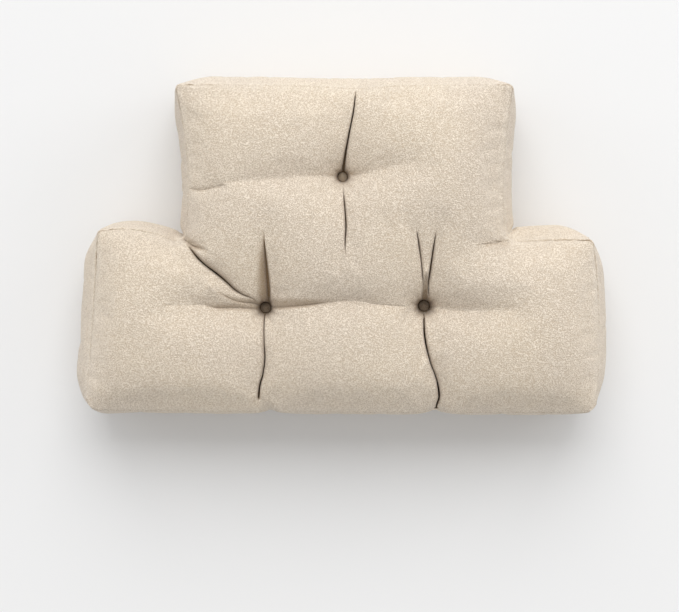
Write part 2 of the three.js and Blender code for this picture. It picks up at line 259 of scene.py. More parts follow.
FOLDS: tuple[Fold, ...] = (
    # head button to the head edge
    Fold(
        Place.HEAD, 9, 0.3,
        ((1.9, 97), (3.8, 110), (7, 127.5), (9.5, 140), (12, 153), (14.6, 175)),
        Gap(
            14, (3.0, 3.0), (1.2, 1.1, 0.85, 0.68, 0.6, 0.54, 0.5, 0.46, 0.4, 0.32, 0.14),
            (0.6, 0.75, 0.95, 1.0, 1.0),
        ),
    ),
    # head button towards the foot
    Fold(
        Place.HEAD, 6, 0.4,
        ((1.3, 58), (2.6, 44), (3.4, 32), (3.5, 22), (2.8, 12), (2.7, 2), (4, -11)),
        Gap(11, (2.4, 2.4), (0.0, 0.03, 0.13, 0.29, 0.42, 0.44, 0.42, 0.36, 0.2, 0.06, 0.0), (1.0,)),
    ),
    # head button to both sides
    Fold(Place.HEAD, 12, 0.3, ((-36, 81), (-78, 79), (-132, 74))),
    Fold(Place.HEAD, 12, 0.3, ((22, 83.5), (44, 89), (76, 97))),
    # beside the left button towards the head
    Fold(
        None, 9, 0.3,
        ((-80.8, -60), (-81.3, -54), (-82.6, -33), (-84, -13.6), (-85.6, 6), (-86.3, 20)),
        Gap(9, (14.0, 1.8), (1.2, 1.2, 1.1, 0.9, 0.6, 0.3, 0.1), (0.6, 0.6, 0.65, 0.7), 0.45),
    ),
    # left button to the foot edge
    Fold(
        Place.LEFT, 8, 0.55,
        (
            (-87, -84), (-86.9, -103), (-86.3, -122), (-88.8, -139.5), (-91.7, -149.5), (-93.3, -161),
            (-93.7, -166),
        ),
        Gap(
            14, (2.6, 2.6), (0.24, 0.26, 0.3, 0.36, 0.42, 0.44, 0.42, 0.44, 0.5, 0.58, 0.6),
            (0.8, 0.95, 1.0, 1.0, 0.85),
        ),
    ),
    # left button to the left notch
    Fold(
        Place.LEFT, 11, 0.5,
        (
            (-99, -55), (-110.5, -50), (-119.5, -44.6), (-127, -37.6), (-134.8, -30.7), (-143.7, -23.7),
            (-152.6, -16.9), (-161.4, -8.6), (-169.7, 1.5),
        ),
        Gap(
            12, (2.2, 8.0), (0.0, 0.06, 0.1, 0.14, 0.22, 0.31, 0.36, 0.33, 0.27, 0.2, 0.13),
            (0.25, 0.3, 0.4, 0.5, 0.7, 0.95, 1.0, 1.0, 0.9), 0.12,
        ),
    ),
    # left button to the left side, the upper and the lower one
    Fold(
        Place.LEFT, 9, 0.4,
        ((-96.7, -60.5), (-108, -59), (-119.6, -56.3), (-128, -52), (-136, -47.4), (-146, -40)),
        Gap(3, (2.4, 7.0), (0.3, 0.3, 0.28, 0.22, 0.14, 0.06, 0.0), (0.34, 0.26, 0.14), 0.2),
    ),
    Fold(
        Place.LEFT, 14, 0.4,
        ((-102, -65.6), (-119.6, -64.4), (-140, -64), (-155, -61), (-192, -61)),
        Gap(2, (3.6, 8.0), (0.2, 0.22, 0.22, 0.2, 0.14, 0.06, 0.0, 0.0, 0.0, 0.0), (0.1, 0.06, 0.03), 0.2),
    ),
    # left button to the right button
    Fold(
        Place.LEFT, 15, 0.5,
        ((-43, -61.5), (-12, -57.5), (10, -56), (40, -60), (91, -64)),
        Gap(
            3, (14.0, 3.0), (0.25, 0.25, 0.2, 0.12, 0.06, 0.0, 0.0, 0.0, 0.0, 0.0, 0.0),
            (0.12, 0.08, 0.04), 0.32,
        ),
    ),
    # short channel above the right button, and the two folds that it forks into
    Fold(
        Place.RIGHT, 8, 0.5,
        ((91.3, -50), (91.7, -36), (91.9, -24)),
        Gap(6, (4.2, 4.2), (2.6, 2.6, 2.6, 2.4, 2.0, 1.2, 0.0), (0.7, 0.58, 0.42, 0.25, 0.1, 0.0)),
    ),
    Fold(
        None, 7, 0.35,
        ((87.6, -54), (88.4, -46), (88.6, -35), (86, -10), (82, 15.5), (80.5, 24)),
        Gap(9, (2.0, 2.0), (0.0, 0.04, 0.12, 0.22, 0.27, 0.26, 0.18, 0.0), (0.5, 0.62, 0.7)),
    ),
    Fold(
        None, 8, 0.35,
        ((95.8, -54), (95, -46), (94.9, -35), (98.1, -10), (101.5, 15.5), (103, 24)),
        Gap(11, (2.2, 2.2), (0.1, 0.34, 0.56, 0.58, 0.5, 0.4, 0.22, 0.0), (0.55, 0.75, 0.9, 0.9)),
    ),
    # right button to the foot edge
    Fold(
        Place.RIGHT, 8, 0.55,
        (
            (90.2, -86), (91.9, -103), (96.9, -124.4), (100.8, -134.5), (104.8, -146), (107.1, -158),
            (107.7, -166), (105.8, -174), (104.8, -181),
        ),
        Gap(14, (2.8, 2.8), (0.16, 0.18, 0.24, 0.38, 0.46, 0.4, 0.24, 0.22, 0.36, 0.5, 0.5), (0.95,)),
    ),
    # right button to the right side
    Fold(Place.RIGHT, 14, 0.4, ((130, -66), (190, -66))),
    # left side of the head
    Fold(
        None, 2, 0.4,
        ((-176, 67.5), (-165, 66), (-153.8, 65.5), (-136.5, 69.3), (-126.5, 72.2)),
        Gap(0.9, (5.0, 3.0), (0.05, 0.2, 0.25, 0.15, 0.0), (0.08, 0.08, 0.04), 0.06),
    ),
    # left notch
    Fold(
        None, 4, 0.4,
        ((-177, 11.5), (-170.5, 7), (-165, 4), (-159, 1.8), (-153.7, 0.8), (-146, 0)),
        Gap(2.0, (8.0, 3.5), (0.3, 0.3, 0.28, 0.2, 0.1, 0.0), (0.36, 0.26, 0.1), 0.28),
    ),
    # right notch
    Fold(
        None, 4, 0.4,
        ((182, 9), (175, 8.2), (166, 7), (144, 6)),
        Gap(1.0, (7.0, 3.4), (0.2, 0.22, 0.2, 0.14, 0.06, 0.0), (0.1, 0.08, 0.06), 0.14),
    ),
    # shallow dents on both sides of the fold below the right button
    Fold(None, 2.5, 0.5, ((101, -80), (106, -94), (111, -112))),
    Fold(None, 2.0, 0.5, ((94, -122), (97, -138), (101, -156))),
)


def ease(values: np.ndarray) -> np.ndarray:
    """Smooth a share from 0 to 1 at both ends."""
    held = np.clip(values, 0.0, 1.0)
    return held * held * (3.0 - 2.0 * held)


def rolled(share: np.ndarray) -> np.ndarray:
    """How far cloth has dropped over a rolled edge: 1 where the share is 0, and 0 from 1 on."""
    return 1.0 - np.sqrt(1.0 - (1.0 - np.clip(share, 0.0, 1.0)) ** 2)


def lengths_along(points: np.ndarray) -> np.ndarray:
    """How far along a line each of its points lies."""
    steps = np.linalg.norm(np.diff(points, axis=0), axis=1)
    return np.concatenate(([0.0], np.cumsum(steps)))


def steps_along(points: np.ndarray, step: float, fewest: int = 2) -> int:
    """How many steps of about a length there are along a line, and no fewer than fewest."""
    return max(fewest, round(lengths_along(points)[-1] / step))


def evenly(points: np.ndarray, count: int) -> np.ndarray:
    """Space points evenly along a dense line.

    Args:
        points: the dense line, one point a row.
        count: how many steps to make.

    Returns:
        Points along the line, its first and last among them.
    """
    along = lengths_along(points)
    wanted = np.linspace(0.0, along[-1], count + 1)
    return np.column_stack([np.interp(wanted, along, points[:, k]) for k in range(points.shape[1])])


def quadratic(start: np.ndarray, control: np.ndarray, end: np.ndarray, steps: int = 64) -> np.ndarray:
    """Points along a quadratic curve, close together."""
    t = np.linspace(0.0, 1.0, steps + 1)[:, None]
    return (1 - t) ** 2 * start + 2 * t * (1 - t) * control + t**2 * end


def spline(points: np.ndarray, steps: int = 32) -> np.ndarray:
    """Points along a smooth line through all the given points, close together.

    Args:
        points: the points that the line goes through.
        steps: how many steps to make between one point and the next.

    Returns:
        A dense line, one point a row.
    """
    ends = np.vstack([points[:1], points, points[-1:]])
    t = np.linspace(0.0, 1.0, steps + 1)[:-1, None]
    runs = []
    for before, start, end, after in zip(ends, ends[1:], ends[2:], ends[3:]):
        leave, arrive = (end - before) / 2, (after - start) / 2
        cubic = 2 * start - 2 * end + leave + arrive
        square = -3 * start + 3 * end - 2 * leave - arrive
        runs.append(cubic * t**3 + square * t**2 + leave * t + start)
    return np.vstack([*runs, points[-1:]])


def towards(start: np.ndarray, end: np.ndarray, distance: float) -> np.ndarray:
    """The point at a distance from start on the way to end."""
    return start + (end - start) * distance / np.linalg.norm(end - start)


def outward_directions(outline: np.ndarray) -> np.ndarray:
    """The outward directions of a closed outline in plan.

    Args:
        outline: the outline's points, counterclockwise.

    Returns:
        One direction a point.
    """
    along = np.roll(outline, -1, axis=0) - np.roll(outline, 1, axis=0)
    outward = np.column_stack([along[:, 1], -along[:, 0]])
    return outward / np.linalg.norm(outward, axis=1)[:, None]


def inside(points: np.ndarray, outline: np.ndarray) -> np.ndarray:
    """Whether each point in plan lies inside a closed outline.

    Args:
        points: the points to test.
        outline: the outline's points in order.

    Returns:
        One truth value a point.
    """
    found = np.zeros(len(points), bool)
    for a, b in zip(outline, np.roll(outline, 1, axis=0)):
        crosses = (a[1] > points[:, 1]) != (b[1] > points[:, 1])
        if crosses.any():
            at = (b[0] - a[0]) * (points[crosses, 1] - a[1]) / (b[1] - a[1]) + a[0]
            found[crosses] ^= points[crosses, 0] < at
    return found


def distances_to(points: np.ndarray, line: np.ndarray) -> np.ndarray:
    """How far points in plan are from a finely spaced line.

    Args:
        points: the points in plan.
        line: the line's points.

    Returns:
        The distance from each point to the nearest of the line's.
    """
    tree = KDTree(len(line))
    for i, place in enumerate(line):
        tree.insert((place[0], place[1], 0.0), i)
    tree.balance()
    return np.array([tree.find((x, y, 0.0))[2] for x, y in points])


def triangulated(plan: np.ndarray, outline: np.ndarray) -> np.ndarray:
    """Delaunay triangles of points in plan inside an outline that is their first points.

    Args:
        plan: points in plan, the outline's first.
        outline: the closed outline, counterclockwise.

    Returns:
        Three point numbers a row, counterclockwise.
    """
    whole_hull, join_within, sliver = 0, 1e-7, 1e-5
    count = len(outline)
    ring = [(i, (i + 1) % count) for i in range(count)]
    made = delaunay_2d_cdt([Vector(p) for p in plan], ring, [], whole_hull, join_within, True)
    number = np.array([origins[0] for origins in made[3]])
    triangles = number[np.array(made[2])]
    first, second, third = (plan[triangles[:, k]] for k in range(3))
    u, v = second - first, third - first
    twice = u[:, 0] * v[:, 1] - u[:, 1] * v[:, 0]
    triangles[twice < 0] = triangles[twice < 0][:, ::-1]
    return triangles[(np.abs(twice) > sliver) & inside(plan[triangles].mean(axis=1), outline)]


class PlanField:
    """Points gathered in plan, none nearer to another than each asks for."""

    def __init__(self, cell: float) -> None:
        """Start an empty field.

        Args:
            cell: the largest distance that a point may ask for.
        """
        self.cell = cell
        self.points: list[tuple[float, float]] = []
        self.cells: dict[tuple[int, int], list[int]] = {}

    def add(self, place: Sequence[float], clear: float) -> int | None:
        """Add a point if nothing lies within its distance.

        Args:
            place: the point in plan.
            clear: how far it stays from every other point.

        Returns:
            The point's number, or None where it was too near another.
        """
        x, y = float(place[0]), float(place[1])
        column, row = math.floor(x / self.cell), math.floor(y / self.cell)
        for i in (column - 1, column, column + 1):
            for j in (row - 1, row, row + 1):
                for k in self.cells.get((i, j), ()):
                    other = self.points[k]
                    if (other[0] - x) ** 2 + (other[1] - y) ** 2 < clear * clear:
                        return None
        self.points.append((x, y))
        self.cells.setdefault((column, row), []).append(len(self.points) - 1)
        return len(self.points) - 1


class StretchedSkin:
    """A skin over triangles in plan that comes to rest under a push."""

    precision: float = 1e-14
    most_rounds: int = 3000

    def __init__(self, plan: np.ndarray, triangles: np.ndarray) -> None:
        """Work out how strongly neighbouring points pull on each other.

        Args:
            plan: points in plan.
            triangles: three point numbers a row.
        """
        count = len(plan)
        starts, ends, pulls = [], [], []
        self.area = np.zeros(count)
        for k in range(3):
            apex, a, b = triangles[:, k], triangles[:, (k + 1) % 3], triangles[:, (k + 2) % 3]
            u, v = plan[a] - plan[apex], plan[b] - plan[apex]
            twice = np.maximum(u[:, 0] * v[:, 1] - u[:, 1] * v[:, 0], TINY)
            starts.append(a)
            ends.append(b)
            pulls.append((u * v).sum(axis=1) / twice / 2)
            self.area += np.bincount(apex, twice / 6, count)
        self.start, self.end = np.concatenate(starts), np.concatenate(ends)
        self.pull = np.concatenate(pulls)
        self.total = np.bincount(self.start, self.pull, count) + np.bincount(self.end, self.pull, count)

    def strain(self, level: np.ndarray) -> np.ndarray:
        """How far each point is from the level that its neighbours pull it to.

        Args:
            level: the level of every point.

        Returns:
            One strain a point.
        """
        count = len(level)
        drawn = np.bincount(self.start, self.pull * level[self.end], count)
        drawn += np.bincount(self.end, self.pull * level[self.start], count)
        return self.total * level - drawn

    def rest(self, held: np.ndarray, level: np.ndarray, push: np.ndarray | float) -> np.ndarray:
        """Let the skin come to rest by conjugate gradients.

        Args:
            held: whether each point is held.
            level: the level of each held point.
            push: the push on the skin.

        Returns:
            The level of every point.
        """
        free = ~held
        found = np.where(held, level, 0.0)
        left = np.where(free, push * self.area - self.strain(found), 0.0)
        scaled = left / self.total
        heading = scaled.copy()
        energy = left @ scaled
        goal = energy * self.precision
        for _ in range(self.most_rounds):
            if energy <= goal:
                break
            change = np.where(free, self.strain(heading), 0.0)
            stride = energy / (heading @ change)
            found += stride * heading
            left -= stride * change
            scaled = left / self.total
            before, energy = energy, left @ scaled
            heading = scaled + (energy / before) * heading
        return found


@dataclass
class FoldLine:
    """A fold's line in plan, with the ways in which the cloth sinks and parts along it.

    A gap is open where its half width is open_at of its widest, and can be black from black_at of it.
    A lip is tight_lip of its radius where the gap closes. Black starts where the lip has rolled by
    black_start, and is full after black_rise more; murk_rise is how fast murk comes up on the lips.
    The cloth is held along the fold up to firm_until of its run, and less and less over firm_fade more.
    """

    fold: Fold
    tuft: Tuft | None
    step: float = 1.5
    margin: float = 1.0
    open_at: float = 0.6
    tight_lip: float = 0.25
    black_at: float = 0.25
    black_start: float = 0.3
    black_rise: float = 0.5
    murk_rise: float = 1.6
    firm_until: float = 0.45
    firm_fade: float = 0.5
    line: np.ndarray = field(init=False)
    share: np.ndarray = field(init=False)

    def __post_init__(self) -> None:
        """Draw the line from the tuft, if it starts at one, through the fold's route."""
        places = list(self.fold.route)
        if self.tuft:
            places.insert(0, (self.tuft.x, self.tuft.y))
        dense = spline(np.array(places, float))
        self.line = evenly(dense, steps_along(dense, self.step))
        self.share = np.linspace(0.0, 1.0, len(self.line))

    def asides(self) -> np.ndarray:
        """The direction across the fold.

        Returns:
            The direction to the left at each point of the line.
        """
        along = np.gradient(self.line, axis=0)
        aside = np.column_stack([-along[:, 1], along[:, 0]])
        return aside / np.linalg.norm(aside, axis=1)[:, None]

    def sunk(self, share: np.ndarray) -> np.ndarray:
        """How far the cloth round the fold sinks at a share of its run."""
        power = math.log(0.5) / math.log(self.fold.peak)
        return self.fold.sinks * np.sin(np.pi * np.clip(share, 0.0, 1.0) ** power)

    def half(self, share: np.ndarray) -> np.ndarray:
        """Half the width of the fold's gap at a share of its run."""
        halves = self.fold.gap.halves
        return np.interp(share, np.linspace(0.0, 1.0, len(halves)), halves)

    def opened(self, share: np.ndarray) -> np.ndarray:
        """How far the fold's gap has opened.

        Args:
            share: shares of the fold's run.

        Returns:
            A number from 0 to 1 for each share.
        """
        if self.fold.gap is None:
            return np.zeros_like(share)
        return ease(self.half(share) / (self.open_at * max(self.fold.gap.halves)))

    def grip(self, share: np.ndarray) -> np.ndarray:
        """How firmly the cloth is held along the fold at a share of its run, from 0 to 1."""
        return np.maximum(self.opened(share), 1.0 - ease((share - self.firm_until) / self.firm_fade))

    def nearest(self, plan: np.ndarray) -> tuple[np.ndarray, np.ndarray, np.ndarray]:
        """The nearest place on the fold's line.

        Args:
            plan: points in plan.

        Returns:
            Each point's distance from the line, the share of the run where it is nearest, and
            whether it lies on the line's left.
        """
        best = np.full(len(plan), np.inf)
        share, left = np.zeros(len(plan)), np.zeros(len(plan), bool)
        for i, (a, b) in enumerate(zip(self.line, self.line[1:])):
            run, off = b - a, plan - a
            t = np.clip((off @ run) / (run @ run), 0.0, 1.0)
            distance = np.linalg.norm(off - t[:, None] * run, axis=1)
            nearer = distance < best
            best[nearer] = distance[nearer]
            share[nearer] = (i + t[nearer]) / (len(self.line) - 1)
            left[nearer] = (run[0] * off[:, 1] - run[1] * off[:, 0] > 0)[nearer]
        return best, share, left

    def near(self, plan: np.ndarray, reach: float) -> np.ndarray:
        """Numbers of the points in plan that lie within reach of the fold's box."""
        low, high = self.line.min(axis=0) - reach, self.line.max(axis=0) + reach
        return np.where(((plan > low) & (plan < high)).all(axis=1))[0]

    def parting(self, plan: np.ndarray) -> tuple[np.ndarray, np.ndarray]:
        """How the cloth parts at the fold's gap.

        Args:
            plan: points in plan.

        Returns:
            How far each point drops into the gap, and how deep in its shade it lies, from 0 to 1.
        """
        drop, shade = np.zeros(len(plan)), np.zeros(len(plan))
        gap = self.fold.gap
        if gap is None:
            return drop, shade
        widest = max(gap.halves)
        near = self.near(plan, widest + max(gap.lips) + self.margin)
        distance, share, left = self.nearest(plan[near])
        half, opened = self.half(share), self.opened(share)
        lip = np.where(left, *gap.lips) * (self.tight_lip + (1 - self.tight_lip) * half / widest)
        over = (distance - half) / lip
        roll = rolled(over)
        drop[near] = gap.depth * opened * roll
        dark = np.interp(share, np.linspace(0.0, 1.0, len(gap.darks)), gap.darks)
        black = dark * ease((roll - self.black_start) / self.black_rise)
        black *= ease(half / (self.black_at * widest))
        shade[near] = np.maximum(black, gap.murk * opened * ease(self.murk_rise * (1.0 - over)))
        return drop, shade


@dataclass(frozen=True)
class Settling:
    """How the sewn cover settles over its filling: a cloth simulation under even pressure, without weight.

    slack is how much the cloth grows, as a share, and farthest how far a point may move in millimetres.
    """

    pressure: float = 4.0
    frames: int = 20
    quality: int = 4
    stiffness: float = 15.0
    shear: float = 5.0
    bending: float = 0.5
    slack: float = 0.01
    farthest: float = 22.0

    def settle(self, points: np.ndarray, faces: list[Face], held: np.ndarray) -> np.ndarray:
        """Run the simulation.

        Args:
            points: the cover's points in space, in millimetres.
            faces: its faces.
            held: how firmly each point is held, from 0 to 1.

        Returns:
            The settled points.
        """
        mesh = bpy.data.meshes.new("settling")
        mesh.from_pydata((points * MM).tolist(), [], faces)
        body = bpy.data.objects.new("settling", mesh)
        scene = bpy.context.scene
        scene.collection.objects.link(body)
        self.add_cloth(body, held)
        for step in range(1, self.frames + 1):
            scene.frame_set(step)
        settled = body.evaluated_get(bpy.context.evaluated_depsgraph_get()).to_mesh()
        flat = np.empty(3 * len(points))
        settled.vertices.foreach_get("co", flat)
        moved = flat.reshape(-1, 3) / MM - points
        body.to_mesh_clear()
        bpy.data.objects.remove(body)
        bpy.data.meshes.remove(mesh)
        scene.frame_set(1)
        length = np.linalg.norm(moved, axis=1)
        LOG.info("settled: moved %.1f mm at most, %.1f mm in the middle", length.max(), np.median(length))
        return points + moved * np.minimum(1.0, self.farthest / np.maximum(length, TINY))[:, None]

    def add_cloth(self, body: bpy.types.Object, held: np.ndarray) -> None:
        """Make an object cloth, and pin it where it is held.

        Args:
            body: the object that settles.
            held: how firmly each of its points is held, from 0 to 1.
        """
        group = body.vertex_groups.new(name="held")
        weights = held.round(2)
        for weight in np.unique(weights):
            group.add(np.where(weights == weight)[0].tolist(), float(weight), "REPLACE")
        cloth = body.modifiers.new("cloth", "CLOTH")
        settings = cloth.settings
        settings.quality = self.quality
        settings.tension_stiffness = settings.compression_stiffness = self.stiffness
        settings.shear_stiffness = self.shear
        settings.bending_stiffness = self.bending
        settings.use_pressure = True
        settings.uniform_pressure_force = self.pressure
        settings.shrink_min = -self.slack
        settings.effector_weights.gravity = 0.0
        settings.vertex_group_mass = group.name
        cloth.collision_settings.use_collision = False
        cloth.point_cache.frame_start, cloth.point_cache.frame_end = 1, self.frames


@dataclass(frozen=True)
class Fineness:
    """How fine the cover's mesh is, in millimetres.

    Rows of points lie beside the seams at seam_rows, on down the boxing at boxing_rows, and evenly from
    boxing_margin on. seat_rings lie round a tuft, as shares of its seat's radius. lip_rows lie along a
    fold, as shares of its lip outside the gap, or of the gap's half width inside it where negative, and
    those from outer_lip on are coarser. Nothing lies nearer to another point than the clear distance of
    its kind, which is a share of the inset for the wider seam rows and of the step for the grids.
    """

    outline_step: float = 3.2
    corner_steps: int = 5
    largest_clear: float = 5.0
    seam_rows: tuple[float, ...] = (0.4, 0.9, 1.7, 2.8, 4.6)
    row_clear: float = 0.38
    row_clear_share: float = 0.4
    row_kept_share: float = 0.93
    seam_line_step: float = 0.4
    boxing_rows: tuple[float, ...] = (7.4, 11.0, 15.5)
    boxing_margin: float = 20.5
    boxing_even_rows: int = 9
    back_edge_rows: int = 9
    back_step: float = 16.0
    back_clear_share: float = 0.7
    seat_rings: tuple[float, ...] = (0.0, 0.45, 0.82, 1.0, 1.05, 1.12, 1.24, 1.41, 1.64, 1.91, 2.24)
    ring_step: float = 1.5
    ring_clear: float = 0.25
    seam_margin: float = 2.2
    seat_margin: float = 1.6
    middle_clear: float = 0.7
    lip_rows: tuple[float, ...] = (-0.5, 0.0, 0.06, 0.16, 0.32, 0.6, 1.0, 1.7)
    narrowest_half: float = 0.15
    least_offset: float = 0.2
    lip_clear: float = 0.24
    outer_lip: float = 0.5
    outer_lip_clear: float = 0.9
    face_step: float = 3.4
    tuft_step: float = 2.2
    tuft_reach: float = 55.0
    grid_clear_share: float = 0.66


@dataclass(frozen=True)
class Relief:
    """The cover's low relief: seams pressed in, cloth rolled up beside them, lumps and gathers.

    Lengths are in millimetres. A seam is seen in full at its corners and elsewhere by the share faint, to
    which low_faint is added below low_top. Its thread is drawn unevenly tight. lump_scales are how many
    lumps there are to a millimetre, with the share that each size has. The gathers fade out down the
    boxing, and all the relief close to the floor.
    """

    seam_depth: float = 2.2
    seam_lip: float = 2.6
    faint: float = 0.16
    low_faint: float = 0.16
    low_top: float = 70.0
    low_fall: float = 30.0
    tight: float = 0.75
    tight_sway: float = 0.5
    tight_scale: float = 0.11
    roll_width: float = 4.0
    roll_least: float = 0.14
    roll_more: float = 0.66
    lump: float = 0.6
    lump_clear: float = 10.0
    lump_scales: tuple[tuple[float, float], ...] = ((0.022, 1.0), (0.055, 0.5))
    gather_bottom: float = 40.0
    gather_rise: float = 60.0
    # painted shade along the seams' grooves: how dark it is, how wide, and how it follows the seam's showing
    # and tightness
    groove_shade_most: float = 0.9
    groove_shade_half: float = 1.2
    groove_shade_power: float = 1.4
    groove_shade_gain: float = 2.6
    groove_shade_loss: float = 0.9
    # painted highlight, partly wear too: the band beside a seam where the cloth is made paler
    wear_and_highlight_at: float = 3.0
    wear_and_highlight_spread: float = 2.2
    floor_fade: float = 10.0

    def shown(self, points: np.ndarray) -> np.ndarray:
        """How clearly a seam shows.

        Args:
            points: the cover's points in space.

        Returns:
            A number from 0 to 1 for each point.
        """
        seen = np.zeros(len(points))
        for corner in CORNERS:
            away = np.linalg.norm(points[:, :2] - (corner.x, corner.y), axis=1)
            seen = np.maximum(seen, np.exp(-((away / corner.seen) ** 2)))
        faint = self.faint + self.low_faint * ease((self.low_top - points[:, 2]) / self.low_fall)
        return faint + (1.0 - faint) * seen

    def tightness(self, points: np.ndarray) -> np.ndarray:
        """How tightly a seam's thread is drawn at each point."""
        sway = [noise.noise(Vector(p) * self.tight_scale) for p in points]
        return np.array([self.tight + self.tight_sway * value for value in sway])

    def rolls(self, distance: np.ndarray, tight: np.ndarray, shown: np.ndarray) -> np.ndarray:
        """How far the cloth is pressed in at a seam and rolled up beside it.

        Args:
            distance: how far each point lies from a seam.
            tight: how tightly the thread is drawn there.
            shown: how clearly the seam shows there.

        Returns:
            One height a point.
        """
        pressed = self.seam_depth * shown * tight * rolled(distance / self.seam_lip)
        share = distance / self.roll_width
        bulge = (self.roll_least + self.roll_more * shown) * share * np.exp(1 - share)
        return bulge - pressed

    def lumps(self, points: np.ndarray, distance: np.ndarray) -> np.ndarray:
        """How far the filling stands out in lumps, less beside a seam.

        Args:
            points: the cover's points in space.
            distance: how far each one lies from a seam.

        Returns:
            One height a point.
        """
        uneven = np.zeros(len(points))
        for scale, share in self.lump_scales:
            uneven += share * np.array([noise.noise(Vector(p) * scale) for p in points])
        return uneven * (self.lump * (1 - np.exp(-distance / self.lump_clear)))

    def gathers(self, points: np.ndarray) -> np.ndarray:
        """How far the puckers stand out.

        Args:
            points: the cover's points in space.

        Returns:
            One height a point.
        """
        gathered = np.zeros(len(points))
        for pucker in PUCKERS:
            gathered += pucker.raised(points)
        return gathered * ease((points[:, 2] - self.gather_bottom) / self.gather_rise)

    def groove_shade(self, distance: np.ndarray, tight: np.ndarray, shown: np.ndarray) -> np.ndarray:
        """How dark the painted shade along a seam's groove is.

        Args:
            distance: how far each point lies from a seam.
            tight: how tightly the thread is drawn there.
            shown: how clearly the seam shows there.

        Returns:
            A number from 0 to 1 for each point.
        """
        line = self.groove_shade_most * ease(1.0 - distance / self.groove_shade_half)
        drawn = np.clip(self.groove_shade_gain * tight - self.groove_shade_loss, 0.0, 1.0)
        return line * shown**self.groove_shade_power * drawn

    def worn_and_highlit(self, distance: np.ndarray) -> np.ndarray:
        """How much paler the cloth beside a seam is, from 0 to 1: partly wear, partly a painted highlight on
        the cloth rolled up there.
        """
        return np.exp(-(((distance - self.wear_and_highlight_at) / self.wear_and_highlight_spread) ** 2))


